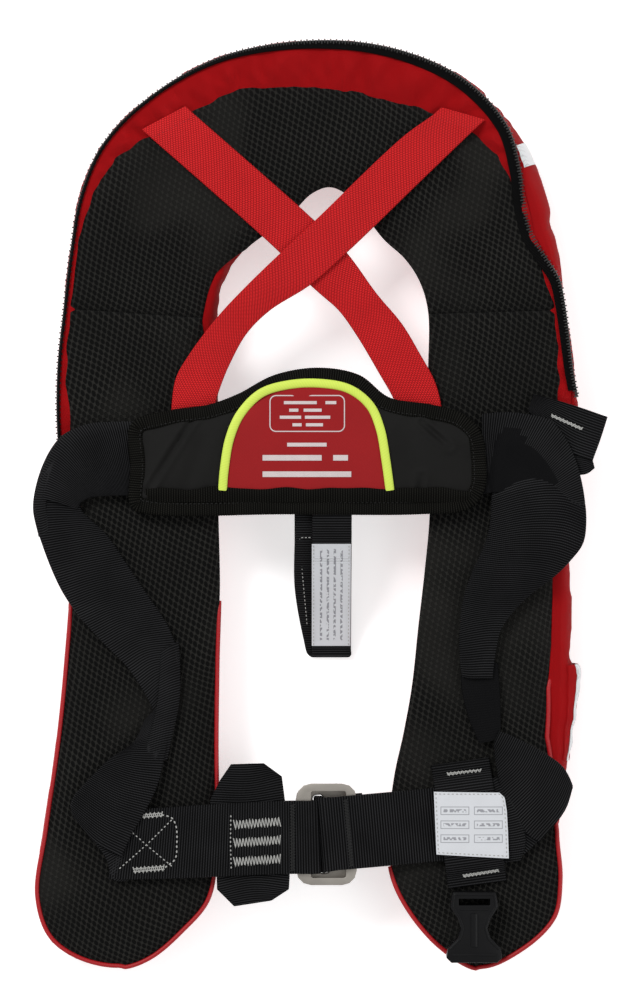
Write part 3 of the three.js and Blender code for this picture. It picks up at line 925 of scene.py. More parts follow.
@dataclass(frozen=True)
class RibbedWebbing:
    """Webbing with ribs across it: dark grooves, and rows of small yarn dots on each rib."""

    name: str
    rib: Colour
    groove: Colour
    pitch: float = 1.6
    yarn: float = 0.95
    rough: float = 0.62
    gloss: float = 0.07
    sheen: float = 0.0

    def make(self) -> bpy.types.Material:
        """Builds the material."""
        g = Graph(self.name)
        u, v = g.cloth_axes()
        ridge = (u * (math.tau / self.pitch) + math.pi / 2).sin() * 0.5 + 0.5
        odd = ((u / self.pitch + 0.5).whole() * 0.5).part() * math.tau
        dots = (v * (math.tau / self.yarn) + odd).sin() * 0.5 + 0.5
        cloud = g.noise(24, 3.0)
        tone = ridge * ridge * (dots * 0.7 + 0.4) * (cloud * 1.1 + 0.4)
        return g.finish(
            Base_Color=g.blend(tone.least(1.0), rgba(self.groove), rgba(self.rib)),
            Roughness=self.rough + 0.1 - ridge * 0.12, Specular_IOR_Level=self.gloss,
            Sheen_Weight=self.sheen, Normal=g.bump(ridge * 0.7 + dots * ridge * 0.3, 0.22),
        )


@dataclass(frozen=True)
class BasketWebbing:
    """Webbing in a basket weave: small square knuckles in rows, every other row set over."""

    name: str
    high: Colour
    low: Colour
    knuckle: float = 1.9

    def make(self) -> bpy.types.Material:
        """Builds the material."""
        g = Graph(self.name)
        u, v = g.cloth_axes()
        row = (u / (self.knuckle * 0.62)).whole()
        shift = (row * 0.5).part()
        across = ((v / self.knuckle + shift).part() - 0.5).abs() * 2
        along = ((u / (self.knuckle * 0.62)).part() - 0.5).abs() * 2
        knob = (1 - across * across) * (1 - along * along * 0.8)
        cloud = g.noise(20, 3.0)
        tone = knob.rise(0.02, 0.8) * (cloud * 0.35 + 0.8)
        return g.finish(
            Base_Color=g.blend(tone.least(1.0), rgba(self.low), rgba(self.high)),
            Roughness=0.66 - knob * 0.1, Specular_IOR_Level=0.12, Sheen_Weight=0.0,
            Normal=g.bump(knob, 0.35),
        )


@dataclass(frozen=True)
class CreasedNylon:
    """Thin smooth nylon: a very fine weave, and faint crumpling that catches the light."""

    name: str
    colour: Colour
    gloss: float = 0.1

    def make(self) -> bpy.types.Material:
        """Builds the material."""
        g = Graph(self.name)
        x, y, _ = g.object_axes()
        weave = (x * (math.tau / 0.6)).sin() * (y * (math.tau / 0.6)).sin() * 0.5 + 0.5
        crumple = g.noise(14, 4.0)
        cloud = g.noise(50, 2.0)
        tone = (weave * 0.3 + 0.7) * (cloud * 0.6 + 0.6)
        return g.finish(
            Base_Color=g.blend(tone.least(1.0), rgba(self.colour, 0.35), rgba(self.colour, 1.3)),
            Roughness=crumple * 0.12 + 0.5, Specular_IOR_Level=self.gloss, Sheen_Weight=0.0,
            Normal=g.bump(crumple * 0.85 + weave * 0.15, 0.7),
        )


@dataclass(frozen=True)
class TwillCloth:
    """Twill: fine slanting lines."""

    name: str
    colour: Colour
    line: float = 0.9

    def make(self) -> bpy.types.Material:
        """Builds the material."""
        g = Graph(self.name)
        x, y, _ = g.object_axes()
        slant = ((x + y) * (math.tau / self.line)).sin() * 0.5 + 0.5
        cross = ((x - y) * (math.tau / (self.line * 0.5))).sin() * 0.5 + 0.5
        cloud = g.noise(30, 3.0)
        tone = (slant * 0.4 + cross * 0.12 + 0.5) * (cloud * 0.3 + 0.85)
        return g.finish(
            Base_Color=g.blend(tone.least(1.0), rgba(self.colour, 0.4), rgba(self.colour, 1.15)),
            Roughness=0.8 - slant * 0.1, Specular_IOR_Level=0.2, Sheen_Weight=0.08,
            Normal=g.bump(slant, 0.12),
        )


@dataclass(frozen=True)
class CoatedPiping:
    """Coated piping: smooth, with a faint spiral of the cord under its skin."""

    name: str
    colour: Colour
    rough: float = 0.42

    def make(self) -> bpy.types.Material:
        """Builds the material."""
        g = Graph(self.name)
        u, v = g.cloth_axes()
        spiral = ((u + v * 0.5) * (math.tau / 1.7)).sin() * 0.5 + 0.5
        cloud = g.noise(16, 2.0)
        tone = (spiral * 0.12 + 0.88) * (cloud * 0.25 + 0.85)
        return g.finish(
            Base_Color=g.blend(tone.least(1.0), rgba(self.colour, 0.5), rgba(self.colour, 1.06)),
            Roughness=cloud * 0.15 + self.rough, Specular_IOR_Level=0.4,
            Normal=g.bump(spiral, 0.06),
        )


@dataclass(frozen=True)
class TwistedThread:
    """Sewing thread: fine slanting plies."""

    name: str
    colour: Colour

    def make(self) -> bpy.types.Material:
        """Builds the material."""
        g = Graph(self.name)
        u, v = g.cloth_axes()
        ply = ((u + v) * (math.tau / 0.6)).sin() * 0.5 + 0.5
        cloud = g.noise(7, 2.0)
        tone = (ply * 0.3 + 0.7) * (cloud * 0.3 + 0.82)
        return g.finish(
            Base_Color=g.blend(tone.least(1.0), rgba(self.colour, 0.4), rgba(self.colour)),
            Roughness=0.7 - ply * 0.1, Specular_IOR_Level=0.3, Normal=g.bump(ply, 0.08),
        )


class LabelPrint(Enum):
    """What a label carries in place of words: close short lines, or rows of boxes."""

    LINES = 1
    BOXES = 2


@dataclass(frozen=True)
class WovenLabel:
    """White woven label with a generic print in grey."""

    name: str
    print: LabelPrint
    colour: Colour = (0.64, 0.655, 0.685)
    ink: Colour = (0.16, 0.16, 0.18)

    def make(self) -> bpy.types.Material:
        """Builds the material. Its cloth axes start at the middle of the label."""
        g = Graph(self.name)
        u, v = g.cloth_axes()
        weave = (u * (math.tau / 0.5)).sin() * (v * (math.tau / 0.5)).sin() * 0.5 + 0.5
        cloud = g.noise(12, 2.0)
        marks = self.marks(g, u, v)
        base = g.blend(weave * 0.4 + 0.6, rgba(self.colour, 0.72), rgba(self.colour, 1.08))
        return g.finish(
            Base_Color=g.blend(marks, base, rgba(self.ink)), Roughness=cloud * 0.1 + 0.72,
            Specular_IOR_Level=0.25,
            Normal=g.bump(weave * 0.5 + cloud * 0.5, 0.2),
        )

    def marks(self, g: Graph, u: Wire, v: Wire) -> Wire:
        """Where the ink is: broken lines along the label, or the outlines of rows of boxes."""
        if self.print is LabelPrint.LINES:
            line = ((v / 4.2).part() - 0.5).abs().rise(0.2, 0.14)
            words = g.noise(1.6, 0.0, "UV").rise(0.42, 0.5)
            inside = (u.abs().rise(29.0, 28.0)) * (v.abs().rise(9.6, 9.2))
            return line * words * inside * 0.75
        across = ((v / 8.5 + 0.5).part() - 0.5).abs() * 8.5
        along = (u.abs() - 10.2).abs()
        outer = across.rise(2.7, 2.4) * along.rise(8.9, 8.6)
        inner = across.rise(2.25, 1.95) * along.rise(8.45, 8.15)
        words = (
            across.rise(1.1, 0.8)
            * g.noise(1.9, 0.0, "UV").rise(0.44, 0.52)
            * along.rise(7.2, 6.8)
        )
        return (outer * (1 - inner)).most(words) * v.abs().rise(12.6, 12.3) * 0.7


@dataclass(frozen=True)
class Metal:
    """Tumbled or plated steel: fine pits, faint scratches and uneven polish."""

    name: str
    colour: Colour
    rough: float = 0.42
    grain: float = 0.5
    metallic: float = 1.0

    def make(self) -> bpy.types.Material:
        """Builds the material."""
        g = Graph(self.name)
        pits = g.noise(self.grain, 3.0)
        cloud = g.noise(9, 3.0)
        scratch = g.noise(2.5, 5.0)
        colour = g.blend(cloud, rgba(self.colour, 0.82), rgba(self.colour, 1.08))
        return g.finish(
            Base_Color=colour, Metallic=self.metallic,
            Roughness=cloud * 0.14 + (self.rough - 0.05) + scratch * 0.05,
            Normal=g.bump(pits * 0.6 + scratch * 0.4, 0.06),
        )


@dataclass(frozen=True)
class Moulded:
    """Moulded plastic with a fine spark-eroded grain."""

    name: str
    colour: Colour
    rough: float = 0.42
    gloss: float = 0.45
    grain: float = 0.05

    def make(self) -> bpy.types.Material:
        """Builds the material."""
        g = Graph(self.name)
        fine = g.noise(0.8, 2.0)
        cloud = g.noise(14, 2.0)
        colour = g.blend(cloud, rgba(self.colour, 0.85), rgba(self.colour, 1.12))
        return g.finish(
            Base_Color=colour, Roughness=cloud * 0.12 + self.rough - 0.05 + fine * 0.05,
            Specular_IOR_Level=self.gloss, Normal=g.bump(fine, self.grain),
        )


@dataclass(frozen=True)
class BeadedFilm:
    """Reflective film: a honeycomb of sealed cells over a grey ground."""

    name: str
    colour: Colour = (0.62, 0.63, 0.64)

    def make(self) -> bpy.types.Material:
        """Builds the material."""
        g = Graph(self.name)
        x, y, z = g.object_axes()
        cell = ((x + z) * (math.tau / 2.4)).sin() * ((y + z) * (math.tau / 2.4)).sin()
        seal = cell.abs().rise(0.12, 0.3)
        cloud = g.noise(10, 2.0)
        return g.finish(
            Base_Color=g.blend(seal, rgba(self.colour, 0.8), rgba(self.colour, 1.1)),
            Roughness=cloud * 0.1 + 0.3, Metallic=0.35, Normal=g.bump(seal, 0.08),
        )


class Finishes:
    """Every finish of the jacket, built once."""

    def __init__(self) -> None:
        """Builds the materials."""
        self.shell = PlainCloth("Cover_cloth_red", (0.335, 0.0008, 0.0025)).make()
        self.mesh = SpacerMesh("Spacer_mesh_black").make()
        self.webbing = RibbedWebbing(
            "Webbing_black", (0.028, 0.028, 0.030), (0.0008, 0.0008, 0.0009)
        ).make()
        self.binding = RibbedWebbing(
            "Binding_black", (0.015, 0.0145, 0.012), (0.0012, 0.0012, 0.001), 1.5, 1.3, 0.75, 0.045
        ).make()
        self.tape = RibbedWebbing(
            "Zip_tape_black", (0.009, 0.009, 0.0095), (0.0012, 0.0012, 0.0012), 0.9, 0.9, 0.8,
            0.035
        ).make()
        # Dark smooth face of the webbing; inside the right strap's dish its darkness is painted
        # shade.
        self.smooth_face_and_painted_shade = CreasedNylon(
            "Webbing_smooth_face_and_painted_shade", (0.0026, 0.0026, 0.003), 0.06
        ).make()
        self.nylon = CreasedNylon("Yoke_nylon_black", (0.0046, 0.0044, 0.0040), 0.13).make()
        self.red_webbing = BasketWebbing(
            "Webbing_red", (0.66, 0.016, 0.018), (0.19, 0.0015, 0.003)
        ).make()
        self.twill = TwillCloth("Patch_twill_red", (0.29, 0.006, 0.008)).make()
        self.red_piping = CoatedPiping("Piping_red", (0.34, 0.0016, 0.005)).make()
        self.neon = CoatedPiping("Piping_neon", (0.56, 0.70, 0.085), 0.5).make()
        self.white_thread = TwistedThread("Thread_white", (0.44, 0.44, 0.42)).make()
        self.black_thread = TwistedThread("Thread_black", (0.012, 0.012, 0.012)).make()
        self.red_thread = TwistedThread("Thread_red", (0.40, 0.010, 0.015)).make()
        self.print_white = TwistedThread("Print_white", (0.66, 0.58, 0.58)).make()
        self.care_label = WovenLabel("Label_care", LabelPrint.LINES).make()
        self.belt_label = WovenLabel("Label_belt", LabelPrint.BOXES).make()
        self.film = BeadedFilm("Reflective_film").make()
        self.steel = Metal("Buckle_steel", (0.37, 0.345, 0.31), 0.46, 0.5, 0.85).make()
        self.plated = Metal("Plated_steel", (0.50, 0.51, 0.52), 0.35, 1.2).make()
        self.zip = Moulded("Zip_plastic_black", (0.034, 0.034, 0.033), 0.30, 0.5).make()
        self.black_plastic = Moulded("Plastic_black", (0.0045, 0.0045, 0.005), 0.34, 0.14).make()
        self.red_plastic = Moulded("Plastic_red", (0.55, 0.012, 0.012), 0.35).make()
        self.yellow_plastic = Moulded("Plastic_yellow", (0.74, 0.46, 0.012), 0.38).make()
        self.orange_plastic = Moulded("Plastic_orange", (0.76, 0.14, 0.012), 0.38).make()
        self.bladder = PlainCloth(
            "Bladder_cloth_yellow", (0.66, 0.68, 0.03), 0.8, 0.1, 0.06, 0.5, 0.4, 0.0
        ).make()


# ---------------------------------------------------------------- the horseshoe and its cover

# Matched points down each lobe and round the collar: neck-side x, y, outer x, y, and how far
# inside the outline the cover's rim lies on the neck side and on the outer side, then the mesh's
# outer edge.
STATIONS = np.array([
    [-104, -279, -148, -280, 1.8, 1.8, 3.0], [-84, -262, -167, -266, 1.6, 1.6, 2.9],
    [-68, -242, -175, -240, 1.4, 1.4, 2.6], [-63, -205, -170, -200, 1.4, 1.5, 2.8],
    [-63, -145, -162, -145, 1.4, 1.4, 2.6], [-62, -95, -157, -95, 1.8, 1.5, 2.6],
    [-61, -50, -154, -50, 1.6, 1.6, 2.6], [-62, 0, -155, 0, 1.6, 1.8, 3.2],
    [-62, 45, -161, 45, 1.6, 1.6, 6.6], [-62, 85, -161, 85, 4.5, 1.8, 4.0],
    [-63, 112, -158, 118, 9.0, 2.0, 3.4], [-58, 138, -154, 155, 6.5, 2.0, 3.6],
    [-45, 156, -148, 190, 5.0, 2.0, 6.5], [-31, 167, -134, 222, 2.5, 2.5, 12.4],
    [-17, 178, -106, 250, 2.5, 2.7, 23.5], [-5, 190, -60, 276, 2.5, 2.7, 23.0],
    [6, 194, 0, 285.5, 2.0, 2.5, 30.0], [17, 189, 50, 279, 2.0, 2.3, 32.0],
    [28, 176, 90, 261, 1.5, 2.5, 28.0], [39, 162, 116, 232, 2.0, 2.5, 16.5],
    [52, 150, 129, 205, 1.5, 7.0, 11.5], [61, 136, 143, 170, 1.5, 12.5, 15.0],
    [66, 118, 151, 122, 1.5, 2.5, 6.0], [66, 80, 157, 80, 1.5, 2.5, 9.0],
    [66, 40, 160, 45, 1.5, 8.0, 12.5], [67, -5, 156, -5, 1.5, 11.0, 11.0],
    [64, -40, 155, -45, 1.5, 12.0, 12.0], [60, -75, 155, -85, 1.5, 13.0, 13.0],
    [56, -112, 157, -113, 1.5, 18.0, 18.0], [51, -140, 155, -145, 1.5, 17.0, 17.0],
    [45, -168, 150, -172, 1.5, 8.0, 8.0], [42, -198, 147, -200, 1.2, 1.5, 2.6],
    [44, -228, 149, -230, 1.2, 1.4, 2.5], [56, -252, 145, -254, 1.2, 1.4, 2.5],
    [76, -274, 124, -275, 1.4, 1.6, 2.8],
])
LEFT_TIP, RIGHT_TIP = (-122.0, -285.0), (98.0, -285.5)
LEFT_SEAM, RIGHT_SEAM = 11.0, 23.0  # stations where the lobes meet the collar


class Side(Enum):
    """The two edges of the horseshoe."""

    NECK = 0
    OUTER = 1


@dataclass
class Horseshoe:
    """The jacket's outline as two matched edges that run from the left tip to the right tip."""

    step: float = 2.4
    stations: Array = field(init=False)
    edge: dict[Side, Array] = field(init=False)
    inwards: dict[Side, Array] = field(init=False)

    def __post_init__(self) -> None:
        """Reads one closed curve from both tips and spaces the pairs by their longer step."""
        knots = np.concatenate(
            [[LEFT_TIP], STATIONS[:, 2:4], [RIGHT_TIP], STATIONS[::-1, 0:2]]
        )
        last = len(STATIONS) + 1.0
        t = np.linspace(0, last, 60 * int(last) + 1)
        outer, neck = smooth_at(knots, t, True), smooth_at(knots, len(knots) - t, True)
        step = np.maximum(
            np.linalg.norm(np.diff(outer, axis=0), axis=1),
            np.linalg.norm(np.diff(neck, axis=0), axis=1)
        )
        run = np.concatenate([[0], np.cumsum(step)])
        self.stations = np.interp(np.linspace(0, run[-1], int(run[-1] / self.step)), run, t)
        self.edge = {
            Side.OUTER: smooth_at(knots, self.stations, True),
            Side.NECK: smooth_at(knots, len(knots) - self.stations, True),
        }
        loop = np.concatenate([self.edge[Side.OUTER], self.edge[Side.NECK][-2:0:-1]])
        square = -left_of(loop, closed=True)
        count = len(self.stations)
        neck_side = np.concatenate([square[:1], square[count:][::-1], square[count - 1:count]])
        self.inwards = {Side.OUTER: square[:count], Side.NECK: neck_side}

    def share(self, values: Sequence[float]) -> Array:
        """One value per pair, from one per station; each tip takes its neighbour's."""
        filled = np.concatenate([[values[0]], values, [values[-1]]])
        return np.interp(self.stations, np.arange(len(filled)), filled)

    def line(self, side: Side, inset: Array | float) -> Array:
        """An edge moved towards the cloth by a distance."""
        inset = np.broadcast_to(np.asarray(inset, float), len(self.stations))
        return self.edge[side] + self.inwards[side] * inset[:, None]

    def rim(self, side: Side) -> Array:
        """How far inside the outline the cover's rim lies."""
        return self.share(STATIONS[:, 4 if side is Side.NECK else 5])

    def hidden(self) -> Array:
        """Where the mesh hangs over the neck edge and hides the cover's rim, 0 to 1."""
        return self.share((0, 0, 0, 0, 0, 0.5, 1, 1, 1) + (0,) * 3 + (1,) * 20 + (0,) * 3)

    def between(self, first: float, last: float) -> slice:
        """The pairs from one station to another."""
        low, high = np.searchsorted(self.stations, [first - 1e-9, last - 1e-9])
        return slice(int(low), int(high) + 1)


@dataclass
class Cover:
    """The red shell: rounded walls that lean in to the rim, and a soft floor."""

    shape: Horseshoe
    finishes: Finishes
    rim_z: float = 35.6
    cloth: float = 1.1
    wall_points: int = 16
    floor_points: int = 17
    fold: float = 1.7
    tuck: tuple[float, ...] = (
        (1.5,) * 4 + (2.0,) * 5 + (1.0,) * 3 + (4.5, 6, 7, 7, 7, 7, 7) + (6.0,) * 12 + (1.5,) * 4
    )
    bulge: tuple[float, ...] = (0.0,) * 18 + (0.8, 3.5, 5.5, 1.0) + (0.0,) * 13

    def wall(self, side: Side) -> Array:
        """One wall of the cover.

        Its section is a smooth curve from the rim, out to the outline at mid-height, and in
        under it to the floor. Slanted folds push it in and out, and puckers run along the rim.

        Args:
            side: The edge that the wall follows.

        Returns:
            Its points, rim first, shape (pairs, wall points, 3).
        """
        rim = self.shape.rim(side)[:, None]
        inset = np.array([[1, 0.0], [0.62, 0.1], [0.22, 0.2], [0.04, 0.1], [0, 0.0], [0, 0.7],
                          [0, 3.2], [0, 8.0], [0, 15.0]])
        level = np.array([35.6, 35.1, 31.5, 26.0, 19.0, 11.0, 4.4, 1.2, 0.5])
        t = np.linspace(0, len(level) - 1, self.wall_points)
        shares = smooth_at(np.column_stack([inset, level]), t)
        d = rim * shares[None, :, 0] + shares[None, :, 1]
        z = np.broadcast_to(shares[:, 2], d.shape).copy()
        if side is Side.NECK:
            hidden = self.shape.hidden()[:, None]
            d, z = d + 2.4 * hidden * (z > 30), z * (1 - 0.035 * hidden)
            d = d + self.shape.share(self.tuck)[:, None] * (1 - z / self.rim_z)
        else:
            d = d - self.shape.share(self.bulge)[:, None] * np.sin(
                math.pi * np.clip(z / self.rim_z, 0, 1)
            )
        run = np.broadcast_to(lengths(self.shape.edge[side])[:, None], d.shape)
        seed = 3 if side is Side.OUTER else 8
        belly = np.clip(1 - np.abs(z - 19) / 19, 0, 1)
        folds = (
            ripple(run, z * 0.5, seed, 34) * self.fold
            + ripple(run, z * 1.6, seed + 1, 13) * 0.8
        )
        folds = np.maximum(folds, -0.8) if side is Side.OUTER else np.abs(folds)
        pucker = ripple(run, 0 * z, seed + 2, 9) * 0.5 * np.clip((z - 22) / 14, 0, 1)
        d = d + folds * belly - np.abs(pucker) * (z < 35.3)
        z = z + np.minimum(np.maximum(rim - 4, 0), 8) * 0.1 * ripple(run, d, seed + 4, 26) * belly
        xy = self.shape.edge[side][:, None] + self.shape.inwards[side][:, None] * d[..., None]
        return np.concatenate([xy, z[..., None]], axis=2)

    def sheet(self) -> Array:
        """Outer wall, floor and neck wall as one grid across the horseshoe."""
        outer, neck = self.wall(Side.OUTER), self.wall(Side.NECK)
        share = np.linspace(0, 1, self.floor_points + 2)[None, 1:-1, None]
        floor = outer[:, -1:] * (1 - share) + neck[:, -1:] * share
        bow = np.sin(math.pi * share[..., 0])
        wide = np.linalg.norm(outer[:, -1, :2] - neck[:, -1, :2], axis=1)[:, None]
        lift = ripple(floor[..., 0], floor[..., 1], 21, 46) * 0.9 + 1.0
        floor[..., 2] = 0.55 + lift * bow * np.clip(wide / 30, 0, 1)
        whole = np.concatenate([outer, floor, neck[:, ::-1]], axis=1)
        whole[..., 2] = np.maximum(whole[..., 2], 0.4)
        return whole

    def build(self) -> None:
        """Makes the three panels, each a sheet given its thickness inwards."""
        sheet = self.sheet()
        last = len(STATIONS) + 1.0
        panels = {
            "cover_left_lobe": (0.0, LEFT_SEAM), "cover_collar": (LEFT_SEAM, RIGHT_SEAM),
            "cover_right_lobe": (RIGHT_SEAM, last),
        }
        for node, (first, end) in panels.items():
            part = sheet[self.shape.between(first, end)]
            along, across = np.gradient(part, axis=0), np.gradient(part, axis=1)
            normal = unit(np.cross(along, across))
            normal[np.abs(normal).sum(-1) < 0.5] = (0, 0, -1)
            if first == 0.0:
                normal[0] = self.tip_normals(normal[1])
            if end == last:
                normal[-1] = self.tip_normals(normal[-2])
            inner = part - normal * self.cloth * np.sign(
                (normal * self.outwards(part)).sum(-1, keepdims=True)
            )
            inner[..., 2] = np.maximum(inner[..., 2], 0.9)
            piece = make_piece(
                f"{node}_cloth", closed_sheet(part, inner), [self.finishes.shell],
                stands_for=node
            )

    def outwards(self, part: Array) -> Array:
        """Roughly outward directions: away from each row's middle, and down at the floor."""
        middle = part.mean(axis=1, keepdims=True)
        middle[..., 2] = 34.0
        return part - middle

    def tip_normals(self, near: Array) -> Array:
        """Normals of a tip's row, where the edges meet: the mean of both sides of the next row."""
        both = unit(near + near[::-1])
        both[np.abs(both).sum(-1) < 0.5] = (0, 0, -1)
        return both


@dataclass
class Facing:
    """Red cloth between the mesh and the zip, seen from inside: gently wavy."""

    shape: Horseshoe
    finishes: Finishes

    def build(self) -> None:
        """Makes the strip from the left seam over the collar to the right shoulder."""
        span = self.shape.between(8.6, 24.6)
        rim = self.shape.rim(Side.OUTER) + 0.2
        mesh = self.shape.share(STATIONS[:, 6]) + 5.0
        share = np.linspace(0, 1, 25)[None, :]
        inset = rim[:, None] + (np.maximum(mesh, rim + 2)[:, None] - rim[:, None]) * share
        xy = (
            self.shape.edge[Side.OUTER][:, None]
            + self.shape.inwards[Side.OUTER][:, None] * inset[..., None]
        )
        run = np.broadcast_to(lengths(self.shape.edge[Side.OUTER])[:, None], inset.shape)
        wide = np.clip((mesh - rim - 4)[:, None] / 13, 0, 1)
        wave = ripple(run, inset * 0.3, 31, 22) * 1.5 + ripple(run, inset * 0.5, 32, 8) * 0.5
        z = 36.5 + wide * 1.5 * np.sin(math.pi * share ** 0.8) - 1.1 * share**4
        z = np.clip(
            z + wave * wide * np.sin(math.pi * share), 35.2, 36.6 + 0.3 * (inset - rim[:, None])
        )
        top = np.concatenate([xy, z[..., None]], axis=2)[span]
        bottom = top - np.array([0, 0, 0.9])
        piece = make_piece(
            "collar_facing_cloth", closed_sheet(top, bottom), [self.finishes.shell],
            stands_for="collar_facing"
        )


@dataclass
class Lining:
    """The three spacer-mesh pads: crowned, dipping at the cross seams and at their edges."""

    shape: Horseshoe
    finishes: Finishes
    edge_z: float = 35.9
    crown: float = 4.2
    soft: float = 6.0
    under_z: float = 34.7

    def pad(self, span: slice, seed: int) -> tuple[Array, Array]:
        """Top and bottom grids of one pad.

        The top stands over its edge by the crown times one minus e to the minus distance from
        the nearest edge over the softness, plus two sizes of ripple.

        Args:
            span: The pairs of the outline that the pad covers.
            seed: Chooses its ripples.

        Returns:
            The two grids.
        """
        neck = self.shape.rim(Side.NECK) * (1 - self.shape.hidden()) + 0.3
        inner = self.shape.line(Side.NECK, neck)[span]
        outer = self.shape.line(Side.OUTER, self.shape.share(STATIONS[:, 6]) + 0.2)[span]
        share = (1 - np.cos(np.linspace(0, math.pi, 41))) / 2
        xy = outer[:, None] * (1 - share)[None, :, None] + inner[:, None] * share[None, :, None]
        outline = np.concatenate([outer, inner[::-1]])
        rise = 1 - np.exp(-nearest(xy, outline) / self.soft)
        x, y = xy[..., 0], xy[..., 1]
        wave = ripple(x, y, seed, 52) * 0.28 + ripple(x, y, seed + 1, 19) * 0.16
        z = self.edge_z + rise * (self.crown + wave)
        z = np.minimum(z, 40.75)
        top = np.concatenate([xy, z[..., None]], axis=2)
        return top, at_grid(xy, self.under_z)

    def build(self) -> None:
        """Makes the pads."""
        last = len(STATIONS) + 1.0
        pads = {
            "lining_left_lobe": (0.0, LEFT_SEAM), "lining_collar": (LEFT_SEAM, RIGHT_SEAM),
            "lining_right_lobe": (RIGHT_SEAM, last),
        }
        for seed, (node, (first, end)) in enumerate(pads.items()):
            top, bottom = self.pad(self.shape.between(first, end), 40 + 5 * seed)
            piece = make_piece(
                f"{node}_pad", closed_sheet(top, bottom), [self.finishes.mesh], sharp=70,
                stands_for=node
            )


def at_grid(xy: Array, z: float) -> Array:
    """A flat grid at one height."""
    return np.concatenate([xy, np.full(xy.shape[:2] + (1,), z)], axis=2)


@dataclass
class Piping:
    """Red piping sewn along the edge of the mesh round the lower end of each lobe."""

    shape: Horseshoe
    finishes: Finishes
    radius: float = 1.35
    z: float = 36.2

    def path(self, lobe: slice, outer_to: float, neck_to: float) -> Array:
        """The piping's line: down the neck side, round the tip and up the outer side.

        Args:
            lobe: The pairs of the outline on this lobe.
            outer_to: Height on the sheet, y, where it ends on the outer side.
            neck_to: The same on the neck side.

        Returns:
            Its points; both ends sink into the seam.
        """
        outer = self.shape.line(Side.OUTER, self.shape.share(STATIONS[:, 6]) - 1.0)[lobe]
        neck = self.shape.line(Side.NECK, self.shape.rim(Side.NECK) - 1.0)[lobe]
        if outer[0, 1] > outer[-1, 1]:
            outer, neck = outer[::-1], neck[::-1]
        outer, neck = outer[outer[:, 1] < outer_to], neck[neck[:, 1] < neck_to]
        line = np.concatenate([neck[:0:-1], outer])
        path = at_height(evenly(line, int(lengths(line)[-1] / 2.2)), self.z)
        ends = np.minimum(np.arange(len(path)), np.arange(len(path))[::-1])
        path[:, 2] -= 2.2 * np.exp(-ends / 3.0)
        return path

    def build(self) -> None:
        """Makes both pipings."""
        last = len(STATIONS) + 1.0
        lobes = {
            "piping_left_lobe": (self.shape.between(0, LEFT_SEAM), -60.0, -57.5),
            "piping_right_lobe": (self.shape.between(RIGHT_SEAM, last), -106.0, -222.0),
        }
        for node, (lobe, outer_to, neck_to) in lobes.items():
            path = self.path(lobe, outer_to, neck_to)
            make_piece(
                f"{node}_cord", cord_tube(path, self.radius, 12), [self.finishes.red_piping],
                stands_for=node
            )


ZIP_LINE = [
    (-154, -34), (-155.4, 0), (-160.3, 45), (-160.0, 85), (-156.6, 118), (-152.4, 154),
    (-146.2, 189), (-132.8, 220), (-105.4, 248), (-59.4, 274), (0, 283.6), (49, 277.6),
    (88.5, 259.6), (114, 232), (122, 206), (125, 182), (129, 166), (138, 151), (146, 138),
    (149.5, 122), (154.8, 80), (157.4, 66),
]


@dataclass
class Zip:
    """The burst zip along the collar: two rows of interlocked teeth on their tape."""

    finishes: Finishes
    pitch: float = 1.8
    z: float = 36.6
    tooth: tuple[float, float, float] = (1.05, 2.9, 2.0)

    def tooth_shape(self) -> Surface:
        """One tooth: a block whose section narrows to rounded ends, thicker at one end."""
        long, wide, high = self.tooth
        y = np.array([-0.5, -0.42, -0.1, 0.2, 0.42, 0.5]) * wide
        fat = np.array([0.45, 0.9, 1.0, 0.8, 1.0, 0.5])
        angle = np.linspace(0, math.tau, 8, endpoint=False) + math.pi / 8
        ring = np.stack(
            [np.cos(angle) * long * 0.54, 0 * angle, np.sin(angle) * high * 0.54], axis=1
        )
        rings = ring[None] * fat[:, None, None] + np.stack([0 * y, y, 0 * y], axis=1)[:, None]
        return capped_tube(rings)

    def build(self) -> None:
        """Makes the teeth, the cord they sit on, and the tape inside them."""
        line = smooth(ZIP_LINE, 700)
        count = int(lengths(line)[-1] / self.pitch)
        at = at_height(evenly(line, count), self.z)
        side = left_of(at[:, :2])
        odd = np.where(np.arange(count) % 2, 1.0, -1.0)[:, None]
        along = at_height(np.column_stack([side[:, 1], -side[:, 0]]) * odd, 0.0)
        at[:, :2] += side * odd * 0.3
        teeth = template_row(self.tooth_shape(), at, along, np.tile([0, 0, 1.0], (count, 1)))
        cord = cord_tube(at_height(evenly(line, 420), self.z - 0.6), 0.9, 8, 0.7)
        make_piece(
            "zip_chain_teeth", teeth + cord, [self.finishes.zip],
            stands_for="zip_chain"
        )

        shown = evenly(line, 700)[60:696]
        width = np.interp(
            np.linspace(0, 1, len(shown)), [0, 0.38, 0.55, 0.7, 0.84, 1],
            [0.9, 1.4, 5.0, 6.4, 6.2, 4.6]
        )
        square = -left_of(shown)
        outer = at_height(shown - square * 0.5, 36.1)
        inner = at_height(shown + square * width[:, None], 38.5)
        tape = band([outer, inner], 0.9, step=2.0, cols=9)
        make_piece(
            "zip_tape_band", tape, [self.finishes.tape],
            stands_for="zip_tape"
        )
        for node in ("zip_slider", "zip_pull"):
            softened(node, f"{node}_cast", self.finishes.plated, node, 0.45)


# ---------------------------------------------------------------- yoke and crossed straps

YOKE_OUTLINE = [
    (-115, 49), (-92, 57), (-68, 60.5), (-50, 67), (-28, 78.5), (-1, 83), (24, 78.5), (42, 65),
    (68, 60.5), (87, 55), (98, 44), (101, 28), (100, 8), (90, -3), (60, -6), (-20, -6), (-104, -6),
    (-115, -2), (-115.5, 22),
]
ARCH = [
    (-59.4, 8.4), (-58.2, 22), (-55, 40), (-48.4, 55), (-36, 67.5), (-20, 72.6), (0, 73.6),
    (18, 70), (30.5, 60), (36.6, 46), (40.2, 26), (42.6, 8.4),
]


